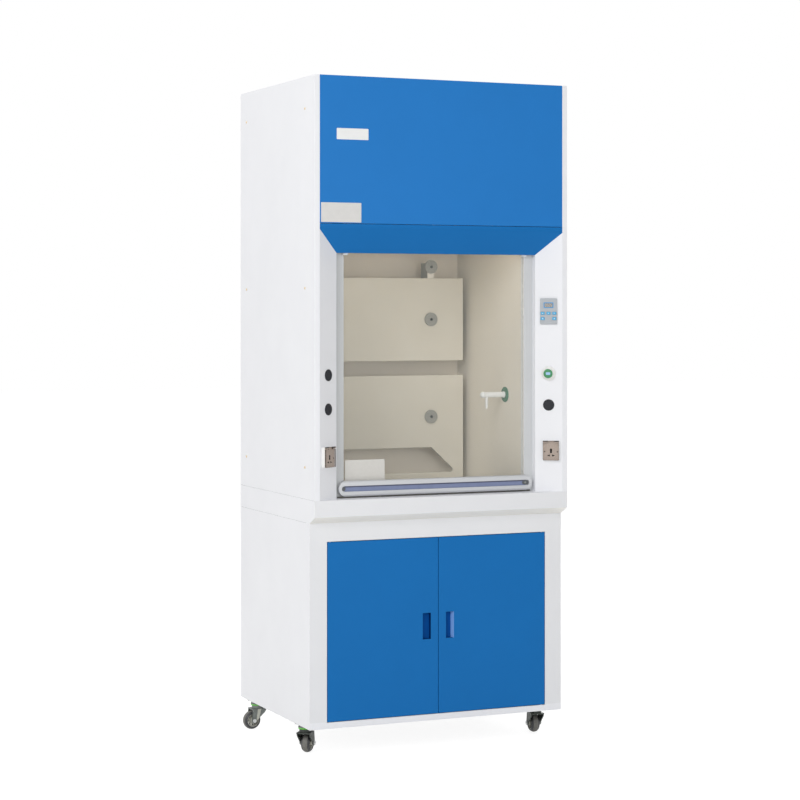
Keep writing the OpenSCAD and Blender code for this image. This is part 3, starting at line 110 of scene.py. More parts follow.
# The floor shows as white paper that keeps the hood's soft shadow
floor_paper = bpy.data.materials.new("pale studio floor")
floor_paper.use_nodes = True
tree = floor_paper.node_tree
tree.nodes.clear()
matt = add(tree, "ShaderNodeBsdfDiffuse", None, {"Color": linear("#EEEDEA")})
dim = add(tree, "ShaderNodeBsdfDiffuse", None, {"Color": linear("#9C9C9C")})
glow = add(tree, "ShaderNodeEmission", None, {"Color": (1, 1, 1, 1), "Strength": 0.86})
bright = add(tree, "ShaderNodeAddShader", None, {0: dim.outputs[0], 1: glow.outputs[0]})
shown = add(tree, "ShaderNodeMixShader", None,
            {0: seen_directly(tree), 1: matt.outputs[0], 2: bright.outputs[0]})
add(tree, "ShaderNodeOutputMaterial", None, {"Surface": shown.outputs[0]})
floor_mesh = bpy.data.meshes.new("floor")
FLOOR_HALF = 30
floor_corners = [(x * FLOOR_HALF, y * FLOOR_HALF, 0) for x, y in ((-1, -1), (1, -1), (1, 1), (-1, 1))]
floor_mesh.from_pydata(floor_corners, [], [(0, 1, 2, 3)])
floor_mesh.materials.append(floor_paper)
studio_floor = bpy.data.objects.new("studio_floor", floor_mesh)
scene.collection.objects.link(studio_floor)


def soft_box(name, place, target, size, power):
    """Square studio lamp turned towards a point, its size in metres and its power in watts."""
    lamp = bpy.data.lights.new(name, "AREA")
    lamp.size = size
    lamp.energy = power
    holder = bpy.data.objects.new(name, lamp)
    holder.location = place
    holder.rotation_euler = (Vector(target) - Vector(place)).to_track_quat("-Z", "Y").to_euler()
    scene.collection.objects.link(holder)


soft_box("key soft box", (-4.6, -4.8, 3.9), (0, 0, 1.2), 3.0, 158)
soft_box("side soft box", (-5.0, 0.3, 3.2), (0, 0, 1.2), 2.5, 45)
soft_box("front soft box", (-0.3, -5.5, 1.6), (0, -0.3, 1.2), 2.0, 48)
soft_box("top soft box", (-0.5, 0.5, 5.0), (0, 0, 0), 3.0, 48)
soft_box("rear soft box", (3.6, 5.4, 3.2), (0, 0, 1.2), 3.0, 140)

# Materials


def surface(name, colour, second, grain_mm, rough, spread=0.06, bump_mm=0.0, bump_grain_mm=2.0,
            stretch=(1, 1, 1), shine=0.5, **shader):
    """Principled surface whose colour and gloss drift between two near shades, with a fine relief.

    Patterns read Object coordinates, so a size in millimetres becomes a scale of 1000 / size."""
    material = bpy.data.materials.new(name)
    material.use_nodes = True
    tree = material.node_tree
    tree.nodes.clear()
    place = add(tree, "ShaderNodeTexCoord")
    mapped = add(tree, "ShaderNodeMapping", None, {"Vector": place.outputs["Object"], "Scale": stretch})
    drift = add(tree, "ShaderNodeTexNoise", None,
                {"Vector": mapped.outputs[0], "Scale": 1000 / grain_mm, "Detail": 3.0, "Roughness": 0.6})
    # Sockets 6 and 7 of the mix are its two colours, and output 2 is the colour between them
    shade = add(tree, "ShaderNodeMix", {"data_type": "RGBA"},
                {0: drift.outputs["Fac"], 6: linear(colour), 7: linear(second)})
    # Sockets 1 and 2 are the range of the noise, 3 and 4 the range of the roughness
    gloss = add(tree, "ShaderNodeMapRange", None,
                {0: drift.outputs["Fac"], 1: 0.3, 2: 0.7, 3: rough - spread / 2, 4: rough + spread / 2})
    body = add(tree, "ShaderNodeBsdfPrincipled", None,
               {"Base Color": shade.outputs[2], "Roughness": gloss.outputs[0],
                "Specular IOR Level": shine, **shader})
    if bump_mm:
        relief = add(tree, "ShaderNodeTexNoise", None,
                     {"Vector": mapped.outputs[0], "Scale": 1000 / bump_grain_mm, "Detail": 2.0})
        bump = add(tree, "ShaderNodeBump", None, {"Strength": 0.5, "Distance": bump_mm * MM,
                                                  "Height": relief.outputs["Fac"]})
        tree.links.new(bump.outputs[0], body.inputs["Normal"])
    add(tree, "ShaderNodeOutputMaterial", None, {"Surface": body.outputs[0]})
    return material


# After its two shades a surface has its grain in mm, its roughness and how far that drifts, and the height and
# the grain of its relief in mm

# Powder coat: sprayed and baked, so it has a low orange-peel relief and an even satin gloss.
# The real peel is about 1.5 mm across, too fine to show, and is drawn as 5 mm
white_coat = surface("white powder coat", "#EDEEF2", "#E7E8EC", 180, 0.42, 0.08, 0.12, 5)
# The frames in front are painted a shade greyer, as painted shade, and the slope under the sill a shade warmer and
# lighter, as painted light
front_shade_coat = surface("white powder coat, painted shade on the front frames", "#E6E7EA", "#E0E1E4", 180, 0.42, 0.08, 0.12, 5)
sill_light_coat = surface("white powder coat, painted light under the sill", "#FBF9F3", "#F5F3ED", 180, 0.42, 0.08, 0.12, 5)
# The blue is a low-gloss coat, so it keeps its depth under the white room
blue_coat = surface("blue powder coat", "#2079C6", "#1E74BE", 220, 0.46, 0.08, 0.12, 5, shine=0.2)
# The lower panels get a darker copy of the blue, painted shade where the light falls off downwards
lower_blue_shaded = surface("blue powder coat, lower panels, painted shade", "#0F6EB6", "#0F69AE", 220, 0.46, 0.08, 0.12, 5, shine=0.15)
# The pockets of the pulls are painted darker inside, as painted shade
pull_shade = surface("blue coat, painted shade inside the pulls", "#02306C", "#022A60", 40, 0.5, 0.08, shine=0.1)
pull_floor_shade = surface("blue coat, painted shade on the floor of the pulls", "#034C98", "#04468E", 40, 0.5, 0.08, shine=0.05)
# The outer wall of the right pull leans into the light and is painted pale, a painted highlight
pull_highlight = surface("blue coat, painted highlight in the right pull", "#7EACEE", "#75A2E4", 40, 0.4, 0.08, shine=0.2)
# Compact laminate: pressed paper and resin, matt and warm, with a faint fleck
ivory_board = surface("ivory compact laminate", "#DDD7C9", "#D6CFBF", 60, 0.55, 0.10, 0.05, 3)
# The walls and the board behind the baffles are lighter copies of the same laminate, painted light against the
# chamber's shade
wall_board_lit = surface("ivory compact laminate of the walls, painted light", "#EEE8DC", "#E8E1D3", 60, 0.5, 0.10, 0.05, 3)
rear_board_lit = surface("ivory compact laminate behind the baffles, painted light", "#F0E6D6", "#EADFCE", 60, 0.5, 0.10, 0.05, 3)
# The core of the board is brown paper, and a cut edge shows it dark; only the edges that face down get it, so there
# it is also painted shade
board_core_and_shade = surface("dark core of compact laminate, also painted shade", "#6A5F52", "#5C5246", 10, 0.6, 0.1)
# The worktop's filler shows as a finer and stronger fleck
pale_board = surface("pale composite worktop", "#D9D8D3", "#C9C8C2", 8, 0.48, 0.12, 0.05, 2)
# Anodised extrusion: drawn through a die, so fine lines run along it under a satin oxide
# The right guide gets a lighter copy and the left guide a darker one, as painted light and painted shade
guide_right_lit = surface("anodised aluminium, upright lines", "#CFD1D3", "#C1C3C5", 3, 0.48, 0.12, 0.03, 1.5,
                      stretch=(1, 1, 0.01), Metallic=0.3)
guide_dusk = surface("anodised aluminium, upright lines, in the shade", "#BABCBD", "#ADAFB0", 3, 0.48, 0.12,
                     0.03, 1.5, stretch=(1, 1, 0.01), Metallic=0.3)
handle_metal = surface("anodised aluminium, level lines", "#CCCED1", "#BEC0C3", 3, 0.45, 0.12, 0.03, 1.5,
                       stretch=(0.01, 1, 1), Metallic=0.3)
# Vinyl strip: pressed into the groove, even and soft, with the rim's shade along its top
lavender = surface("lavender vinyl inlay", "#808BAD", "#717C9E", 30, 0.45, 0.1, 0.04, 2)
lavender_dusk = surface("lavender vinyl in the groove's shade", "#565B74", "#4C5168", 30, 0.5, 0.1)
# Float glass: clear, with a breath of green in its edge; most light goes straight through it
pane_glass = surface("clear float glass", "#EAF1F0", "#E2EBEA", 400, 0.05, 0.03, Alpha=0.06)
# Moulded plastics: a spark-eroded mould leaves a fine matt grain, and a polished one a soft shine
grey_abs = surface("light grey ABS, fine spark texture", "#B4B8BD", "#A9ADB2", 12, 0.5, 0.1, 0.06, 1.5)
# The same white covers the grooves and inner edges of the sash guides, as painted light over their shade
white_abs_and_guide_light = surface("white ABS, polished mould, also painted light in the guides", "#F1F1EF", "#E8E8E6", 40, 0.28, 0.08)
black_pe = surface("black polyethylene", "#313237", "#28292D", 14, 0.55, 0.12, 0.05, 2, shine=0.2)
black_pp = surface("dark polypropylene sink", "#44484C", "#3A3D41", 20, 0.5, 0.12, 0.05, 2.5)
# Smoky polycarbonate: light goes through its face, and its cut edges gather the tint
smoky_pc = surface("smoky polycarbonate", "#A3958C", "#988A81", 30, 0.18, 0.06, Alpha=0.04)
smoky_edge = surface("smoky polycarbonate, edge on", "#5A4E45", "#4E433B", 30, 0.25, 0.06, Alpha=0.8)
# Black in the socket slots and on the rims round them is painted shade; it also blackens the upper part of the hinge
# ears
slot_shade_and_ear_black = surface("black, painted shade in the socket slots, and on the ears", "#141414", "#0E0E0E", 6, 0.5, 0.1, shine=0.1)
# The socket face is painted warm grey, standing for the shade and tint that the smoky cover lays over a white face
socket_face_tinted = surface("warm grey socket face, painted shade of the smoky cover", "#B5A69B", "#AB9C91", 20, 0.4, 0.1, 0.04, 2)
green_abs = surface("green ABS", "#3A7A5E", "#316D53", 20, 0.4, 0.1, 0.04, 2)
cap_green = surface("green knob cap", "#3C8E5C", "#347F50", 12, 0.35, 0.08)
# Keys and display: soft rubber keys, and pale figures on grey glass in a printed frame
key_blue = surface("light blue silicone keys", "#55B4E2", "#49A6D6", 8, 0.5, 0.1, 0.03, 1.2)
frame_blue = surface("printed blue window frame", "#3E9FDC", "#3894D0", 10, 0.4, 0.06)
lcd_grey = surface("reflective display glass", "#96918A", "#8A857E", 6, 0.16, 0.06)
segment_ink = surface("display segments", "#DCD6CE", "#D2CBC2", 4, 0.4, 0.06)
# Zinc plate: bright, slightly clouded by the bath; hot dipped sheet has broader clouds
zinc = surface("zinc plated steel", "#A9AEB0", "#8F9497", 9, 0.36, 0.16, 0.03, 2, Metallic=0.9)
galvanised = surface("galvanised sheet", "#A4A9AC", "#8D9295", 25, 0.4, 0.2, 0.03, 4, Metallic=0.85)
# Black oxide: an oiled skin that drinks the light
# The same black lines the recesses round the studs of the baffle discs, as painted shade
black_oxide_and_recess_shade = surface("black oxide steel, also painted shade in the disc recesses", "#161718", "#101112", 6, 0.5, 0.12, shine=0.2)
# Baffle discs: a coarse mould grain that breaks up the light
disc_grey = surface("grey moulded discs, coarse spark texture", "#A09F97", "#7F7E77", 4, 0.55, 0.12, 0.15, 3)
# Caster steel: pressed and dull plated; the front forks get a darker copy as painted shade under the cabinet's
# front, and the bend down each rear leg a painted highlight
fork_steel = surface("pressed caster steel, dull zinc", "#7F8481", "#6B706D", 10, 0.42, 0.16, 0.05, 3,
                     Metallic=0.7)
fork_dusk = surface("pressed caster steel, in the cabinet's shade", "#4A4E4A", "#3C403C", 10, 0.45, 0.16,
                    0.05, 3, Metallic=0.7)
bend_highlight = surface("zinc, painted highlight along a bend", "#C9CABF", "#B5B6AB", 8, 0.4, 0.12, Metallic=0.4)
bolt_zinc = surface("bright zinc bolts", "#DDDFDF", "#CDCFCF", 6, 0.35, 0.12, Metallic=0.4)
# Nylon: waxy and even, dyed green for the seals and left off-white for the pulleys
seal_green = surface("green nylon seal", "#6FD34A", "#62C23F", 10, 0.45, 0.1)
pulley_nylon = surface("natural nylon", "#E3E1D8", "#D8D5CA", 14, 0.4, 0.1)
# Paint on castings: thick and a little rough
motor_enamel = surface("grey motor enamel", "#6F7A84", "#646F79", 30, 0.42, 0.1, 0.08, 3)
weight_iron = surface("painted cast iron", "#6A6F73", "#5C6165", 14, 0.6, 0.15, 0.25, 4)
# Rubber: dark and dull; the middle of the tread is painted paler as a painted highlight, and the tyre's dark also
# fills the hub holes as painted shade
tyre_rubber_and_hole_shade = surface("grey thermoplastic rubber", "#36373A", "#2C2D30", 9, 0.45, 0.14, 0.08, 2)
tread_highlight_rubber = surface("grey thermoplastic rubber, painted highlight on the tread", "#757470", "#64635F", 7, 0.6, 0.14, 0.1, 2)
# A grey strip under the handle is painted shade in the gap over the worktop
gap_shade_grey = surface("grey strip, painted shade under the handle", "#5A5853", "#4E4C47", 12, 0.6, 0.12, 0.05, 2)
# The hubs are a pale moulding that stands out from the tyre
hub_grey = surface("grey polypropylene hub", "#C6C6BD", "#B4B4AB", 12, 0.48, 0.1, 0.05, 2)
# Small parts in grey: dark pieces at the groove's ends and dark strips in the seams, both painted shade, and a rivet
groove_end_shade = surface("dark grey, painted shade at the groove's ends", "#5B5F63", "#505458", 8, 0.5, 0.1, 0.04, 2)
spot_grey = surface("dull aluminium rivet", "#8F938F", "#828682", 5, 0.5, 0.1)
seam_shade_strip = surface("grey strip, painted shade in the seams", "#6E7072", "#626466", 10, 0.6, 0.1)
# The chamber's lamp is on: its cover glows warm and lifts the walls under it
lamp_opal = surface("opal acrylic lamp cover", "#F6F6F0", "#EFEFE8", 40, 0.3, 0.06,
                    **{"Emission Color": linear("#FFF3E0"), "Emission Strength": 1.8})
# Small prints, screws and blank plates: plain stock that takes the light evenly
cap_cream = surface("cream nylon screws", "#E9D3AE", "#DEC79F", 6, 0.5, 0.08)
cap_blue = surface("pale blue cap print", "#A9CBEF", "#9CC0E6", 6, 0.35, 0.06)
label_paper = surface("matt paper label under film", "#D5D3CE", "#CBC9C4", 12, 0.5, 0.1)
plate_white = surface("blank white label stock", "#EDEEEE", "#E5E6E6", 20, 0.45, 0.08)
plate_grey = surface("satin grey plate stock", "#D9D8D6", "#CFCECC", 20, 0.45, 0.08)
# Wire: its strands make a fine twist of light and dark
steel_wire = surface("stranded steel wire", "#9EA3A6", "#7F8487", 2, 0.35, 0.15, 0.2, 1.5, Metallic=0.9)

# Mesh helpers

UPRIGHT = Matrix.Rotation(math.pi / 2, 4, "X")
Z_AXIS = Vector((0, 0, 1))
# Room in metres that tells a face from the plane next to it
HAIR = 0.0002
# A face looks along an axis when its normal has at least this share along it
FACING = 0.9
# Bends in degrees: sharper edges are eased, and sharper edges of a finished piece stay crisp
EASED_FROM, CRISP_FROM, CRISP_HEAD_FROM = 35, 40, 30


def piece(name, bm, materials, body, stands_for=(), blend=None):
    """Turns a bmesh into a finished piece that rides on a body, or, given blend, stays unattached with its place
    baked into its mesh.
    """
    mesh = bpy.data.meshes.new(name)
    bm.to_mesh(mesh)
    bm.free()
    for material in materials:
        mesh.materials.append(material)
    mesh.shade_smooth()
    mesh.set_sharp_from_angle(angle=math.radians(CRISP_FROM))
    obj = bpy.data.objects.new(name, mesh)
    scene.collection.objects.link(obj)
    # Normals follow the broad faces, so flat sheet stays flat right up to its eased edges
    obj.modifiers.new("broad faces first", "WEIGHTED_NORMAL").keep_sharp = True
    plain = bpy.data.meshes.new_from_object(obj.evaluated_get(bpy.context.evaluated_depsgraph_get()))
    obj.modifiers.clear()
    obj.data = plain
    if blend:
        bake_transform(obj)
    else:
        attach(obj, body)
    if stands_for:
        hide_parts(*stands_for)


def body_of(node):
    """Name of the body that a node moves with."""
    return next(b for b, nodes in frame["record"]["behaviour"]["bodies"].items() if node in nodes)


def node_mesh(node):
    """Copy of a CAD node with its triangles joined and its flat faces whole."""
    bm = bmesh.new()
    bm.from_mesh(frame["nodes"][node].data)
    bmesh.ops.remove_doubles(bm, verts=bm.verts, dist=1e-6)
    bmesh.ops.dissolve_limit(bm, angle_limit=math.radians(0.5), verts=bm.verts, edges=bm.edges)
    return bm


def ease(bm, width):
    """Rounds the sharp edges by a width in millimetres, as a folding press or a mould leaves them."""
    sharp = [e for e in bm.edges if len(e.link_faces) == 2 and e.calc_face_angle() > math.radians(EASED_FROM)]
    bmesh.ops.bevel(bm, geom=sharp, offset=width * MM, segments=2, profile=0.5, affect="EDGES",
                    clamp_overlap=True)


def eased(node, material, width):
    """The node itself with eased edges, standing for it."""
    bm = node_mesh(node)
    ease(bm, width)
    piece(node + "_eased", bm, [material], body_of(node), [node])


def dress(node, material):
    """Gives a node its finish and leaves its CAD shape."""
    obj = frame["nodes"][node]
    obj.data.materials.clear()
    obj.data.materials.append(material)


def turned(bm, profile, place=Matrix(), steps=48, index=0):
    """Revolves (radius, height) points in millimetres about local Z; radius 0 closes an end."""
    rings = []
    for radius, height in profile:
        turns = steps if radius else 1
        rings.append([bm.verts.new(place @ (MM * Vector((radius * math.cos(2 * math.pi * i / steps),
                                                         radius * math.sin(2 * math.pi * i / steps), height))))
                      for i in range(turns)])
    for a, b in zip(rings, rings[1:]):
        for i in range(steps):
            j = (i + 1) % steps
            corners = dict.fromkeys((a[i % len(a)], a[j % len(a)], b[j % len(b)], b[i % len(b)]))
            bm.faces.new(corners).material_index = index


def bands(bm, rings, index=0):
    """Joins each ring of points to the next, all with as many points."""
    for a, b in zip(rings, rings[1:]):
        for i in range(len(a)):
            j = (i + 1) % len(a)
            bm.faces.new((a[i], a[j], b[j], b[i])).material_index = index


def solid(bm, rings, index=0):
    """Joins a row of rings and closes both ends."""
    bands(bm, rings, index)
    for end in (rings[0][::-1], rings[-1]):
        bm.faces.new(end).material_index = index


def slab(bm, outline, low, high, place=Matrix(), index=0):
    """Carries an outline in millimetres from one height to another along local Z."""
    solid(bm, [[bm.verts.new(place @ (MM * Vector((x, y, z)))) for x, y in outline] for z in (low, high)], index)


def rim(bm, outer, inner, low, high, place=Matrix()):
    """Flat ring between two outlines of as many points, in millimetres, from one height to another."""
    rings = [[bm.verts.new(place @ (MM * Vector((x, y, z)))) for x, y in line]
             for line, z in ((outer, low), (outer, high), (inner, high), (inner, low))]
    bands(bm, rings + rings[:1])


def round_box(w, h, r, steps=5):
    """Outline of a box with round corners, in millimetres, its middle at the origin."""
    x, y = w / 2 - r, h / 2 - r
    outline = []
    for quarter, (cx, cy) in enumerate(((x, y), (-x, y), (-x, -y), (x, -y))):
        for k in range(steps + 1):
            a = math.radians(90 * quarter + 90 * k / steps)
            outline.append((cx + r * math.cos(a), cy + r * math.sin(a)))
    return outline


def shifted(outline, dx, dy):
    """An outline moved along and up."""
    return [(x + dx, y + dy) for x, y in outline]


def tube(bm, path, radius, sides=10):
    """Round wire of a radius in millimetres along points in metres that lie in one upright plane."""
    rings = []
    for i, p in enumerate(path):
        along = (Vector(path[min(i + 1, len(path) - 1)]) - Vector(path[max(i - 1, 0)])).normalized()
        across = Vector((1, 0, 0))
        up = along.cross(across)
        rings.append([bm.verts.new(Vector(p) + radius * MM * (across * math.cos(2 * math.pi * k / sides)
                                                              + up * math.sin(2 * math.pi * k / sides)))
                      for k in range(sides)])
    solid(bm, rings)


def middle(node):
    """Height of the middle of a node."""
    low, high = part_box(node)
    return (low.z + high.z) / 2


def cut_across(bm, place, axis, at):
    """Cuts the faces of a mesh by the plane at a distance along an axis of a local frame."""
    bmesh.ops.bisect_plane(bm, geom=bm.verts[:] + bm.edges[:] + bm.faces[:], plane_co=place @ (axis * at),
                           plane_no=place.to_3x3() @ axis)


def outward(bm):
    """The same mesh with every face turned outwards."""
    bmesh.ops.recalc_face_normals(bm, faces=bm.faces)
    return bm


# Pieces in one finish: each bend, cut or moulded edge has a small radius, in millimetres, that catches the light

for width, material, names in (
    (0.7, white_coat, "left_side_panel right_side_panel"),
    (0.6, white_coat, "left_column right_column"),
    (0.7, white_coat, "base_side_panels"),
    (0.7, blue_coat, "upper_fascia"),
    (0.6, lower_blue_shaded, "lower_fascia"),
    (0.8, wall_board_lit, "side_liners"),
    (1.0, ivory_board, "upper_baffle"),
    (1.2, handle_metal, "sash_handle"),
    (0.5, grey_abs, "control_panel"),
    (0.8, white_abs_and_guide_light, "sash_clamps"),
    (2.0, weight_iron, "counterweights"),
    (0.5, zinc, "pulley_brackets"),
    (1.5, lamp_opal, "lamp"),
    (0.8, green_abs, "faucet_flange"),
    (0.4, white_abs_and_guide_light, "faucet_spout"),
    (1.0, black_pp, "cup_sink"),
    (0.5, black_pe, "hole_plugs"),
    (0.6, key_blue, "key_1 key_2 key_3 key_4 key_5"),
):
    for name in names.split():
        eased(name, material, width)

# Bench and base frame: their faces in front are painted greyer as painted shade, but for the rail under the doors,
# and the bench's slope under the sill is painted lighter as painted light

bm = node_mesh("bench_frame")
ease(bm, 0.7)
for face in bm.faces:
    if face.normal.y < -FACING:
        face.material_index = 1
    elif face.normal.y < -0.2 and face.normal.z < -0.5:
        face.material_index = 2
piece("bench_frame_eased", bm, [white_coat, front_shade_coat, sill_light_coat], "cabinet",
      ["bench_frame"])
DOOR_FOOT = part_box("right_door")[0].z
bm = node_mesh("base_front_frame")
ease(bm, 0.6)
cut_across(bm, Matrix(), Z_AXIS, DOOR_FOOT)
for face in bm.faces:
    if face.normal.y < -FACING and face.calc_center_median().z > DOOR_FOOT:
        face.material_index = 1
piece("base_front_frame_eased", bm, [white_coat, front_shade_coat], "cabinet",
      ["base_front_frame"])

# Lower baffle: edges that face down above the baffle's foot, along the top of the cut-out, show the board's dark
# core, which there is also painted shade

BAFFLE_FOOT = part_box("lower_baffle")[0].z + 0.003
bm = node_mesh("lower_baffle")
ease(bm, 1.0)
for face in bm.faces:
    if face.normal.z < -0.3 and face.calc_center_median().z > BAFFLE_FOOT:
        face.material_index = 1
piece("lower_baffle_eased", bm, [ivory_board, board_core_and_shade], "cabinet", ["lower_baffle"])

# Nodes that keep their CAD shape

for material, names in (
    (white_coat, "rear_panel top_panel exhaust_collar base_rear_panel base_floor"),
    (rear_board_lit, "rear_liner ceiling_liner"),
    (pale_board, "worktop"),
    (pane_glass, "sash_pane"),
    (pulley_nylon, "front_pulleys rear_pulleys"),
    (galvanised, "blower_housing impeller"),
    (motor_enamel, "blower_motor"),
):
    for name in names.split():
        dress(name, material)

# Sash guides with white stops under the fascia, grooves and inner edges painted white as painted light, the right
# guide painted lighter and the left darker as painted light and shade, and the inlay with painted shade under the
# rim

# How far the handle stands out from the guides, foot of the stops and half the room for the pane, in metres
HANDLE_OUT, STOP_FOOT, PANE_ROOM = 0.017, 1.6, 0.004
GUIDE_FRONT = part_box("sash_handle")[0].y + HANDLE_OUT
# Inner edge of a guide and floor of its groove, from the middle of the hood
GUIDE_IN, GROOVE_IN = 0.327, 0.3585
PANE_Y = (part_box("sash_pane")[0].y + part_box("sash_pane")[1].y) / 2
bm = node_mesh("sash_guides")
for face in bm.faces:
    spot = face.calc_center_median()
    is_stop = spot.y < GUIDE_FRONT - HAIR and spot.z > STOP_FOOT
    in_groove = abs(spot.y - PANE_Y) < PANE_ROOM and abs(spot.x) < GROOVE_IN
    if is_stop or in_groove or abs(spot.x) < GUIDE_IN + HAIR:
        face.material_index = 1
    elif spot.x < 0:
        face.material_index = 2
piece("sash_guides_drawn", bm, [guide_right_lit, white_abs_and_guide_light, guide_dusk], "cabinet", ["sash_guides"])
bm = node_mesh("handle_inlay")
INLAY_SHADE = middle("handle_inlay") + 0.0045
cut_across(bm, Matrix(), Z_AXIS, INLAY_SHADE)
for face in bm.faces:
    if face.calc_center_median().z > INLAY_SHADE:
        face.material_index = 1
piece("handle_inlay_shaded", bm, [lavender, lavender_dusk], "sash", ["handle_inlay"])

# Doors: the pull pockets are painted darker inside as painted shade, but for the outer wall of the right pull, which
# faces the light and is painted pale as a painted highlight

DOOR_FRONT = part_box("right_door")[0].y
# A pocket's reach from the middle of the hood, its heights, half its depth and its eased lip, in metres
PULL_X, PULL_Z, PULL_HALF, PULL_LIP = (0.027, 0.057), (0.364, 0.455), 0.006, 0.0007
for side, node in ((-1, "left_door"), (1, "right_door")):
    bm = node_mesh(node)
    ease(bm, 0.6)
    pull = Vector((side * sum(PULL_X) / 2, DOOR_FRONT + PULL_HALF, sum(PULL_Z) / 2))
    for face in bm.faces:
        spot = face.calc_center_median()
        in_pull = (PULL_X[0] < side * spot.x < PULL_X[1] and PULL_Z[0] < spot.z < PULL_Z[1]
                   and spot.y > DOOR_FRONT + PULL_LIP)
        if in_pull and face.normal.y < 0.5 and face.normal.dot(pull - spot) > 0:
            if face.normal.y < -FACING:
                face.material_index = 2
            elif face.normal.x > -0.3 or side < 0:
                face.material_index = 1
            else:
                face.material_index = 3
    piece(node + "_eased", bm, [lower_blue_shaded, pull_shade, pull_floor_shade, pull_highlight], node, [node])

# Columns: a local frame with X along the face to the viewer's right, Y up and Z out of the face

COLUMN_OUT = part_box("right_column")[1].x
COLUMN_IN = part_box("right_column")[0].x
COLUMN_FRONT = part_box("right_column")[0].y
# Depth of the bevel, in metres
COLUMN_DEPTH = 0.050
COLUMN_TURN = math.atan2(COLUMN_DEPTH, COLUMN_OUT - COLUMN_IN)
COLUMN_FACE = math.hypot(COLUMN_DEPTH, COLUMN_OUT - COLUMN_IN)
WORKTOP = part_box("worktop")[1].z


def on_column(side, along, z):
    """Frame at a distance in from the column's outer edge and a height, in metres."""
    x = COLUMN_OUT - along * math.cos(COLUMN_TURN)
    y = COLUMN_FRONT + along * math.sin(COLUMN_TURN)
    return Matrix.Translation((side * x, y, z)) @ Matrix.Rotation(-side * COLUMN_TURN, 4, "Z") @ UPRIGHT


# Display: printed blue frame round a grey window with four plain figures

PANEL = on_column(1, COLUMN_FACE / 2, middle("control_panel"))
# Thickness of the panel, and the window's middle above the panel's, in millimetres
PANEL_T, WINDOW_UP = 6.0, 20
# Bars that a figure shows, and the middle and size of each bar, in millimetres
SEGMENTS = {"0": "abcdef", "5": "acdfg"}
BARS = {"a": (0, 4.6, 3.2, 0.8), "g": (0, 0, 3.2, 0.8), "d": (0, -4.6, 3.2, 0.8), "b": (1.9, 2.3, 0.8, 3.6),
        "c": (1.9, -2.3, 0.8, 3.6), "e": (-1.9, -2.3, 0.8, 3.6), "f": (-1.9, 2.3, 0.8, 3.6)}
FIRST_FIGURE, FIGURE_PITCH = -9.6, 6.4
bm = bmesh.new()
slab(bm, shifted(round_box(32.6, 18.6, 1.4), 0, WINDOW_UP), PANEL_T - 1, PANEL_T - 0.5, PANEL)
for side in (-1, 1):
    upright = shifted(round_box(2.4, 18.4, 0.6), side * 15, WINDOW_UP)
    level = shifted(round_box(32.2, 2.4, 0.6), 0, WINDOW_UP + side * 8)
    slab(bm, upright, PANEL_T - 0.6, PANEL_T - 0.3, PANEL, 1)
    slab(bm, level, PANEL_T - 0.6, PANEL_T - 0.35, PANEL, 1)
for column, figure in enumerate("0505"):
    for name in SEGMENTS[figure]:
        dx, dy, w, h = BARS[name]
        bar = shifted(round_box(w, h, 0.3, 2), FIRST_FIGURE + FIGURE_PITCH * column + dx, WINDOW_UP + dy)
        slab(bm, bar, PANEL_T - 0.55, PANEL_T - 0.42, PANEL, 2)
piece("display_window", outward(bm), [lcd_grey, frame_blue, segment_ink], "cabinet")

# Key marks: plain raised signs, an arrow up, a bar, an arrow down, a round and a square

# Depth of a key's well, travel, gap under the key and its depth, then places of the keys, in millimetres
KEY_WELL, KEY_TRAVEL, KEY_GAP, KEY_DEPTH = 3.5, 1.5, 0.4, 4.5
KEY_TOP = PANEL_T - KEY_WELL + KEY_TRAVEL + KEY_GAP + KEY_DEPTH
KEY_X, KEY_HIGH, KEY_LOW = 19.6, -7, -25
ROUND_R, ROUND_SIDES = 1.8, 12
round_mark = [(ROUND_R * math.cos(a), ROUND_R * math.sin(a))
              for a in (2 * math.pi * k / ROUND_SIDES for k in range(ROUND_SIDES))]
marks = (
    (-KEY_X, KEY_HIGH, [(-2.2, -1.4), (2.2, -1.4), (0, 1.8)]),
    (0, KEY_HIGH, round_box(4.4, 1.3, 0.4, 2)),
    (KEY_X, KEY_HIGH, [(-2.2, 1.4), (0, -1.8), (2.2, 1.4)]),
    (-KEY_X, KEY_LOW, round_mark),
    (KEY_X, KEY_LOW, round_box(3.2, 3.2, 0.4, 2)),
)
for number, (x, y, mark) in enumerate(marks, 1):
    bm = bmesh.new()
    slab(bm, shifted(mark, x, y), KEY_TOP - 0.3, KEY_TOP + 0.12, PANEL)
    piece(f"key_{number}_mark", outward(bm), [plate_white], f"key_{number}")

# Knob: fluted white grip on a wide skirt, with a green cap let into its end

KNOB = on_column(1, COLUMN_FACE / 2, middle("water_knob"))
FLUTES, FLUTE_DEPTH, KNOB_STEPS = 12, 1.3, 96
# Height and radius in millimetres, and how much of the flutes' depth is cut there
levels = (
    (-19, 5.8, 0), (1.0, 5.8, 0), (1.0, 23.6, 0), (1.8, 24.0, 0), (4.0, 22.6, 0), (6.0, 19.6, 0),
    (7.5, 17.4, 0.5), (9.0, 16.8, 1.0), (18.0, 16.6, 1.0), (21.0, 16.5, 0.8), (22.3, 16.3, 0.3),
    (22.8, 15.9, 0), (22.8, 15.5, 0),
)
bm = bmesh.new()
rings = []
for z, radius, cut in levels:
    rings.append([])
    for i in range(KNOB_STEPS):
        a = 2 * math.pi * i / KNOB_STEPS
        reach = radius - FLUTE_DEPTH * cut * max(0, math.cos(FLUTES * a)) ** 2
        rings[-1].append(bm.verts.new(KNOB @ (MM * Vector((reach * math.cos(a), reach * math.sin(a), z)))))
solid(bm, rings)
turned(bm, ((0, 22.6), (15.4, 22.6), (15.4, 23.3), (14.6, 23.9), (0, 23.9)), KNOB, 48, 1)
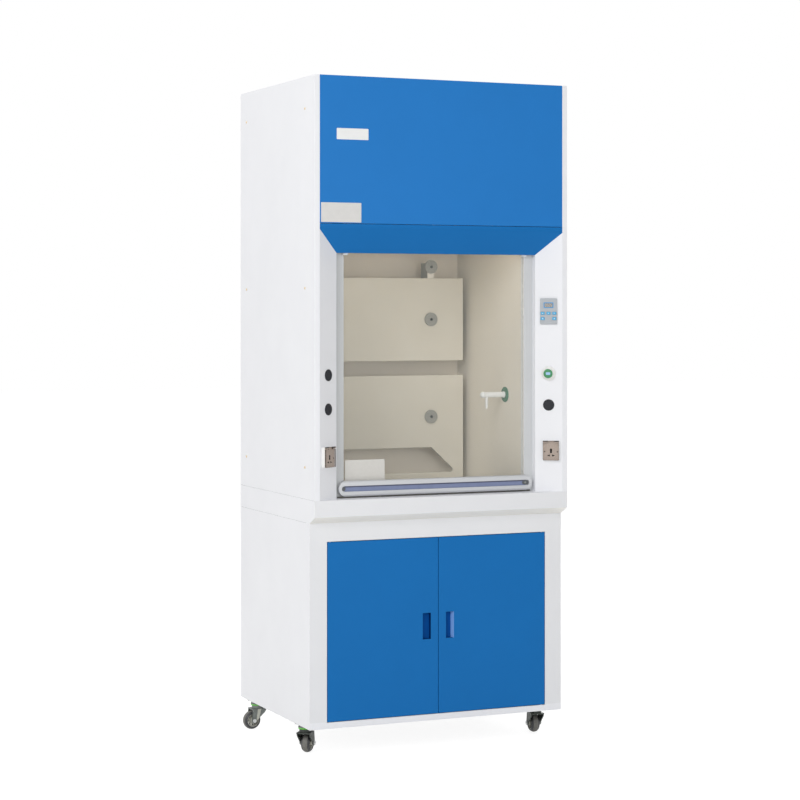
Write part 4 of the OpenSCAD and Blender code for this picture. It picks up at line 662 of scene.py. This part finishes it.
slab(bm, round_box(15, 9, 2.5), 23.7, 23.98, KNOB, 2)
piece("fluted_knob", outward(bm), [white_abs_and_guide_light, cap_green, cap_blue], "water_knob", ["water_knob"])

# Sockets: white bases with a face painted warm grey as the smoky cover's tinted shade, pin slots and the rims round
# them painted dark as painted shade, and the upper part of the hinge ears black, under smoky covers

SOCKET_ALONG, SOCKET_TOP, EAR_MIDDLE = 0.037, 0.012, 0.030
# Half the width and height of the field with the slots, its floor and the lip of the slots, in metres
FIELD_X, FIELD_Y, FIELD_FLOOR, SLOT_LIP = 0.016, 0.022, 0.003, 0.00005
SOCKETS = {side: on_column(side, SOCKET_ALONG, middle("sockets")) for side in (-1, 1)}
bm = node_mesh("sockets")
ease(bm, 0.4)
for place in SOCKETS.values():
    cut_across(bm, place, Z_AXIS, SOCKET_TOP + HAIR)
    cut_across(bm, place, Vector((0, 1, 0)), EAR_MIDDLE)
for face in bm.faces:
    place = min(SOCKETS.values(), key=lambda m: (m.translation - face.calc_center_median()).length)
    spot = place.inverted() @ face.calc_center_median()
    in_slot = (abs(spot.x) < FIELD_X and abs(spot.y) < FIELD_Y
               and FIELD_FLOOR < spot.z < SOCKET_TOP - SLOT_LIP)
    if in_slot or (spot.z > SOCKET_TOP + HAIR and spot.y > EAR_MIDDLE):
        face.material_index = 1
    elif spot.z > SOCKET_TOP - HAIR:
        face.material_index = 2
piece("sockets_eased", bm, [white_abs_and_guide_light, slot_shade_and_ear_black, socket_face_tinted], "cabinet", ["sockets"])
# Dark rims round the slots, painted shade that widens the dark of each slot: an upright earth slot over two pin
# slots that point outwards
EARTH_SLOT, EARTH_RIM = (shifted(line, 0, -1) for line in (round_box(4.5, 13, 1), round_box(6.8, 15.2, 1.6)))
PIN_SLOT = [(12.15, -16.4), (4.65, -13.9), (4.65, -18.9)]
PIN_RIM = [(13.4, -16.4), (3.9, -12.9), (3.9, -19.9)]
RIM_FOOT, RIM_TOP = SOCKET_TOP / MM - 0.2, SOCKET_TOP / MM + 0.15
bm = bmesh.new()
for place in SOCKETS.values():
    rim(bm, EARTH_RIM, EARTH_SLOT, RIM_FOOT, RIM_TOP, place)
    for side in (-1, 1):
        outer, inner = ([(side * x, y) for x, y in line] for line in (PIN_RIM, PIN_SLOT))
        rim(bm, outer, inner, RIM_FOOT, RIM_TOP, place)
piece("slot_rims", outward(bm), [slot_shade_and_ear_black], "cabinet")
for side, node in ((-1, "left_socket_cover"), (1, "right_socket_cover")):
    place = SOCKETS[side]
    bm = node_mesh(node)
    ease(bm, 0.5)
    for face in bm.faces:
        if abs((place.to_3x3().inverted() @ face.normal).z) < 0.8:
            face.material_index = 1
    piece(node + "_eased", bm, [smoky_pc, smoky_edge], node, [node])


def screw_mesh():
    """Pan head one unit across with a cross recess, standing on z = 0."""
    bm = bmesh.new()
    steps, crown = 24, 0.29
    head = [(0.5, 0), (0.5, 0.12), (0.44, 0.22), (0.3, crown)]
    turned(bm, [(1000 * r, 1000 * z) for r, z in head], steps=steps)
    ring = [v for v in bm.verts if abs(v.co.z - crown) < 1e-6]
    ring.sort(key=lambda v: math.atan2(v.co.y, v.co.x))
    cross = [(0.05, 0.05), (0.22, 0.05), (0.22, -0.05), (0.05, -0.05), (0.05, -0.22), (-0.05, -0.22),
             (-0.05, -0.05), (-0.22, -0.05), (-0.22, 0.05), (-0.05, 0.05), (-0.05, 0.22), (0.05, 0.22)]
    cross.sort(key=lambda p: math.atan2(p[1], p[0]))
    top = [bm.verts.new((x, y, 0.30)) for x, y in cross]
    deep = [bm.verts.new((x * 0.8, y * 0.8, 0.16)) for x, y in cross]
    for i in range(len(cross)):
        j = (i + 1) % len(cross)
        bm.faces.new((top[i], top[j], deep[j], deep[i]))
        bm.faces.new((ring[2 * i], ring[2 * i + 1], ring[(2 * i + 2) % steps], top[j], top[i]))
    bm.faces.new(deep)
    bm.faces.new([v for v in bm.verts if abs(v.co.z) < 1e-6])
    bmesh.ops.recalc_face_normals(bm, faces=bm.faces)
    mesh = bpy.data.meshes.new("screw head")
    bm.to_mesh(mesh)
    bm.free()
    return mesh


def screw_tree(head, material):
    """Geometry Nodes tree that sets a head on every point, turned to the point's facing."""
    tree = bpy.data.node_groups.new("screw heads", "GeometryNodeTree")
    tree.interface.new_socket("Points", in_out="INPUT", socket_type="NodeSocketGeometry")
    tree.interface.new_socket("Head Diameter", in_out="INPUT", socket_type="NodeSocketFloat")
    tree.interface.new_socket("Heads", in_out="OUTPUT", socket_type="NodeSocketGeometry")
    start = add(tree, "NodeGroupInput")
    facing = add(tree, "GeometryNodeInputNamedAttribute", {"data_type": "FLOAT_VECTOR"}, {"Name": "facing"})
    turn = add(tree, "FunctionNodeAlignRotationToVector", {"axis": "Z"}, {"Vector": facing.outputs["Attribute"]})
    shape = add(tree, "GeometryNodeObjectInfo", None, {"Object": head})
    heads = add(tree, "GeometryNodeInstanceOnPoints", None,
                {"Points": start.outputs["Points"], "Instance": shape.outputs["Geometry"],
                 "Rotation": turn.outputs["Rotation"], "Scale": start.outputs["Head Diameter"]})
    whole = add(tree, "GeometryNodeRealizeInstances", None, {"Geometry": heads.outputs[0]})
    painted = add(tree, "GeometryNodeSetMaterial", None, {"Geometry": whole.outputs[0], "Material": material})
    add(tree, "NodeGroupOutput", None, {"Heads": painted.outputs[0]})
    return tree


def screws(name, spots, size, material, body="cabinet"):
    """One plain mesh of screw heads, size across in millimetres, at (point, facing) pairs."""
    head = bpy.data.objects.new("screw head", screw_mesh())
    points = bpy.data.meshes.new(name)
    points.from_pydata([p for p, _ in spots], [], [])
    facing = points.attributes.new("facing", "FLOAT_VECTOR", "POINT")
    facing.data.foreach_set("vector", [c for _, n in spots for c in n])
    obj = bpy.data.objects.new(name, points)
    scene.collection.objects.link(obj)
    modifier = obj.modifiers.new("heads", "NODES")
    modifier.node_group = screw_tree(head, material)
    socket = next(s for s in modifier.node_group.interface.items_tree if s.name == "Head Diameter")
    modifier[socket.identifier] = size * MM
    evaluated = obj.evaluated_get(bpy.context.evaluated_depsgraph_get())
    mesh = bpy.data.meshes.new_from_object(evaluated)
    obj.modifiers.clear()
    obj.data = mesh
    bpy.data.objects.remove(head)
    mesh.shade_smooth()
    mesh.set_sharp_from_angle(angle=math.radians(CRISP_HEAD_FROM))
    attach(obj, body)


# Screws of the sheets and sockets: along the sides, round the rear panels, on the top and the collar's flange, and
# beside the slots. Places are in metres, but in millimetres on a socket

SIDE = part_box("right_side_panel")[1].x
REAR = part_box("rear_panel")[1].y
side_screws = [((s * SIDE, y, z), (s, 0, 0))
               for s in (-1, 1) for y in (-0.268, 0.291) for z in (0.940, 1.518, 2.097)]
screws("side_panel_screws", side_screws, 8, cap_cream)
rear_screws = []
for half, heights in ((0.422, (0.87, 1.19, 1.52, 1.84, 2.17)), (0.15, (0.87, 2.17)), (0.422, (0.13, 0.43, 0.73))):
    rear_screws += [((x, REAR, z), (0, 1, 0)) for x in (-half, half) for z in heights]
# Small heads, so that they stay within the folds of the side panels
screws("rear_panel_screws", rear_screws, 4.8, zinc)
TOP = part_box("top_panel")[1].z
top_screws = [((x, y, TOP), (0, 0, 1)) for x in (-0.425, 0.425) for y in (-0.31, -0.09, 0.12, 0.33)]
COLLAR = (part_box("exhaust_collar")[0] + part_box("exhaust_collar")[1]) / 2
FLANGE_R, FLANGE_T, FLANGE_SCREWS = 0.138, 0.003, 8
for k in range(FLANGE_SCREWS):
    a = math.radians((k + 0.5) * 360 / FLANGE_SCREWS)
    spot = COLLAR.x + FLANGE_R * math.cos(a), COLLAR.y + FLANGE_R * math.sin(a), TOP + FLANGE_T
    top_screws.append((spot, (0, 0, 1)))
screws("top_panel_screws", top_screws, 8, zinc)
socket_screws = []
for place in SOCKETS.values():
    for x in (-21.7, 21.7):
        spot = place @ (MM * Vector((x, -3.6, 10.6)))
        socket_screws.append((tuple(spot), tuple(place.to_3x3() @ Z_AXIS)))
screws("socket_screws", socket_screws, 6, black_oxide_and_recess_shade)

# Standoffs: turned posts with a rounded disc in front and a recess round the stud painted dark as painted shade; the
# brackets at the top are ivory in front, as the boards are

DISC_X, DISC_HEIGHTS = 0.18, (1.07202, 1.41414, 1.599)
DISC_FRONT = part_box("baffle_standoffs")[0].y
STUD_DEEP, RECESS_R, RECESS_LIP, RECESS_DEPTH = 0.0038, 0.0056, 0.0003, 0.006
BRACKET_FOOT = DISC_HEIGHTS[1] + 0.1
disc_screws = [((s * DISC_X, DISC_FRONT + STUD_DEEP, z), (0, -1, 0)) for s in (-1, 1) for z in DISC_HEIGHTS]
screws("standoff_screws", disc_screws, 9, black_oxide_and_recess_shade)
bm = node_mesh("baffle_standoffs")
ease(bm, 1.2)
for face in bm.faces:
    spot = face.calc_center_median()
    reach = min(math.hypot(abs(spot.x) - DISC_X, spot.z - z) for z in DISC_HEIGHTS)
    if reach < RECESS_R and RECESS_LIP < spot.y - DISC_FRONT < RECESS_DEPTH:
        face.material_index = 1
    elif face.normal.y < -FACING and spot.y > DISC_FRONT + RECESS_DEPTH / 2 and spot.z > BRACKET_FOOT:
        face.material_index = 2
piece("standoffs_eased", bm, [disc_grey, black_oxide_and_recess_shade, wall_board_lit], "cabinet", ["baffle_standoffs"])

# Caster plates with the green seal under the raceway and a bolt near each corner

SWIVELS = [Vector(j["pos_m"]) for j in frame["joints"] if j["name"].endswith("_swivel")]
SEAL_FOOT, SEAL_TOP, SEAL_IN = 0.0815, 0.086, 0.0205
BOLT_OUT, PLATE_UNDER = 0.0225, 0.096
bm = node_mesh("caster_plates")
ease(bm, 0.5)
cut_across(bm, Matrix(), Z_AXIS, SEAL_TOP)
for face in bm.faces:
    spot = face.calc_center_median()
    reach = min((spot - swivel).to_2d().length for swivel in SWIVELS)
    if SEAL_FOOT < spot.z < SEAL_TOP and reach > SEAL_IN:
        face.material_index = 1
piece("caster_plates_eased", bm, [fork_steel, seal_green], "cabinet", ["caster_plates"])
caster_bolts = [((spot.x + dx, spot.y + dy, PLATE_UNDER), (0, 0, -1)) for spot in SWIVELS
                for dx in (-BOLT_OUT, BOLT_OUT) for dy in (-BOLT_OUT, BOLT_OUT)]
screws("caster_bolts", caster_bolts, 10, zinc)

# Casters: pressed forks with bright axle bolts, those at the front painted darker as painted shade and those at the
# rear with a painted highlight along the bend down each leg, and wheels with a light hub, whose holes are painted
# dark as painted shade, inside a dark tyre whose middle is painted paler as a painted highlight. The bend lies
# between two lines across a leg, each given by its normal and its distance in metres

HUB_R, TREAD_R, TREAD_HALF = 0.022, 0.0285, 0.008
HOLES_IN, HOLES_OUT = 0.0098, 0.019
FORK_HALF, BEND_FOOT, BEND_TOP = 0.023, 0.034, 0.071
BEND_REAR = Vector((0.991, 0, 0.135)), 0.0183
BEND_FRONT = Vector((0.964, 0, 0.265)), 0.0146
for corner in ("front_left", "front_right", "rear_left", "rear_right"):
    joint = next(j for j in frame["joints"] if j["name"] == corner + "_roll")
    axle, axis = Vector(joint["pos_m"]), Vector(joint["axis"]).normalized()
    swivel = Vector(next(j for j in frame["joints"] if j["name"] == corner + "_swivel")["pos_m"])
    trail = (axle - swivel).to_2d()
    place = Matrix.Translation((swivel.x, swivel.y, 0)) @ Matrix.Rotation(math.atan2(trail.y, trail.x), 4, "Z")
    bm = node_mesh(corner + "_fork")
    ease(bm, 0.8)
    for normal, at in (BEND_REAR, BEND_FRONT):
        cut_across(bm, place, normal, at)
    for face in bm.faces:
        spot = place.inverted() @ face.calc_center_median()
        on_bend = (spot.dot(BEND_REAR[0]) < BEND_REAR[1] and spot.dot(BEND_FRONT[0]) > BEND_FRONT[1]
                   and BEND_FOOT < spot.z < BEND_TOP)
        if abs(spot.y) > FORK_HALF + HAIR:
            face.material_index = 1
        elif on_bend and abs(face.normal.dot(axis)) > FACING:
            face.material_index = 2
    steel, bend = (fork_dusk, fork_dusk) if corner.startswith("front") else (fork_steel, bend_highlight)
    piece(corner + "_fork_eased", bm, [steel, bolt_zinc, bend], corner + "_fork", [corner + "_fork"])
    bm = node_mesh(corner + "_wheel")
    ease(bm, 0.5)
    for face in bm.faces:
        reach = [((v.co - axle) - axis * (v.co - axle).dot(axis)).length for v in face.verts]
        in_hole = HOLES_IN < min(reach) and max(reach) < HOLES_OUT and abs(face.normal.dot(axis)) < 0.3
        if min(reach) > TREAD_R and abs((face.calc_center_median() - axle).dot(axis)) < TREAD_HALF:
            face.material_index = 2
        elif min(reach) > HUB_R - 2 * HAIR or in_hole:
            face.material_index = 1
    piece(corner + "_wheel_eased", bm, [hub_grey, tyre_rubber_and_hole_shade, tread_highlight_rubber], corner + "_wheel",
          [corner + "_wheel"])

# Sash cables: a bend over the pulleys, a front run down to the sash clamps and a rear run down to the counterweights

CABLE_X, CABLE_R = 0.308, 1.5
FRONT_Y, REAR_Y, PULLEY_Z, PULLEY_R = -0.2635, 0.3015, 2.145, 0.020
CLAMP_TOP, WEIGHT_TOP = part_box("sash_clamps")[1].z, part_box("counterweights")[1].z
QUARTER = [math.pi / 2 * k / 10 for k in range(11)]
# A straight run in this many lengths
LENGTHS = 12
for name, side in (("left", -1), ("right", 1)):
    x = side * CABLE_X
    bm = bmesh.new()
    bends = [(x, FRONT_Y + PULLEY_R - PULLEY_R * math.cos(a), PULLEY_Z + PULLEY_R * math.sin(a)) for a in QUARTER]
    bends += [(x, REAR_Y - PULLEY_R + PULLEY_R * math.sin(a), PULLEY_Z + PULLEY_R * math.cos(a)) for a in QUARTER]
    tube(bm, bends, CABLE_R)
    piece(name + "_cable_top", outward(bm), [steel_wire], "cabinet", ["sash_cables"])
    for run, y, foot, body in (("front", FRONT_Y, CLAMP_TOP, "sash"),
                               ("rear", REAR_Y, WEIGHT_TOP, "counterweights")):
        bm = bmesh.new()
        tube(bm, [(x, y, foot + (PULLEY_Z - foot) * k / LENGTHS) for k in range(LENGTHS + 1)], CABLE_R)
        piece(f"{name}_cable_{run}", outward(bm), [steel_wire], "cabinet", ["sash_cables"],
              blend=(body, (x, y, PULLEY_Z), (x, y, foot)))

# Blank plates where the hood carries its printed ones, and a blank label on the pane

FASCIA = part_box("upper_fascia")[0].y
# Left, right, foot and top of each plate, and the border round its raised field, in millimetres
PLATES, PLATE_BORDER = ((-379, -269, 1995, 2031), (-433, -294, 1729, 1792)), 3
bm = bmesh.new()
for index, (x0, x1, z0, z1) in enumerate(PLATES):
    place = Matrix.Translation(((x0 + x1) / 2 * MM, FASCIA, (z0 + z1) / 2 * MM)) @ UPRIGHT
    w, h = x1 - x0, z1 - z0
    slab(bm, round_box(w, h, 2), 0, 0.6, place, index)
    slab(bm, round_box(w - 2 * PLATE_BORDER, h - 2 * PLATE_BORDER, 1), 0.5, 0.9, place, index)
piece("blank_plates", outward(bm), [plate_white, plate_grey], "cabinet")
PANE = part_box("sash_pane")[0].y
# Middle of the label in metres, and its size in millimetres
LABEL_X, LABEL_Z, LABEL_W, LABEL_H = -0.249, 0.9255, 140, 69
bm = bmesh.new()
slab(bm, round_box(LABEL_W, LABEL_H, 2), 0, 0.3, Matrix.Translation((LABEL_X, PANE, LABEL_Z)) @ UPRIGHT)
piece("blank_label", outward(bm), [label_paper], "sash")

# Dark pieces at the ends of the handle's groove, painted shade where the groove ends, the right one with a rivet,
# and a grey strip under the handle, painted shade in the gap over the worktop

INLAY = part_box("handle_inlay")
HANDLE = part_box("sash_handle")
# Half the groove's length, its height with the round of its ends, and the rivet's place from the end, in millimetres
GROOVE_HALF, GROOVE_H, GROOVE_ROUND, RIVET_IN = 339.2, 13.6, 6.6, 12.5


def in_groove_at(x):
    """Frame on the inlay's face at a distance in millimetres from the middle of the handle."""
    return Matrix.Translation((x * MM, INLAY[0].y, middle("handle_inlay"))) @ UPRIGHT


bm = bmesh.new()
for side, length in ((-1, 14), (1, 24)):
    slab(bm, round_box(length, GROOVE_H, GROOVE_ROUND), -0.2, 1.0, in_groove_at(side * (GROOVE_HALF - length / 2)))
turned(bm, ((0, 0.9), (3.6, 0.9), (3.6, 1.5), (2.8, 1.9), (0, 1.9)), in_groove_at(GROOVE_HALF - RIVET_IN), 24, 1)
piece("groove_ends", outward(bm), [groove_end_shade, spot_grey], "sash")
LIP_W, LIP_D = 698, 11
LIP_Y = (HANDLE[0].y + HANDLE[1].y) / 2 / MM
bm = bmesh.new()
slab(bm, shifted(round_box(LIP_W, LIP_D, 2), 0, LIP_Y), WORKTOP / MM + 1.2, HANDLE[0].z / MM + 0.2)
piece("sash_lip", outward(bm), [gap_shade_grey], "sash")

# Dark strips in the seams between the upper cabinet, the bench and the base, painted shade in the joints

BENCH_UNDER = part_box("bench_frame")[0].z
BASE_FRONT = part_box("base_side_panels")[0].y
PANEL_FRONT, PANEL_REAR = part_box("left_side_panel")[0].y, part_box("left_side_panel")[1].y
# How far a strip lies in from the side at its back and front, and short of the panels' ends, in metres
STRIP_BACK, STRIP_FRONT, STRIP_SHORT = 0.0009, 0.0002, 0.001
bm = bmesh.new()
for side in (-1, 1):
    for z, front in ((WORKTOP, PANEL_FRONT), (BENCH_UNDER, BASE_FRONT)):
        y0, y1 = front + STRIP_SHORT, PANEL_REAR - STRIP_SHORT
        corners = ((STRIP_BACK, y0), (STRIP_FRONT, y0), (STRIP_FRONT, y1), (STRIP_BACK, y1))
        slab(bm, [(side * (SIDE - d) / MM, y / MM) for d, y in corners], z / MM - 0.5, z / MM + 0.5)
piece("seam_beads", outward(bm), [seam_shade_strip], "cabinet")
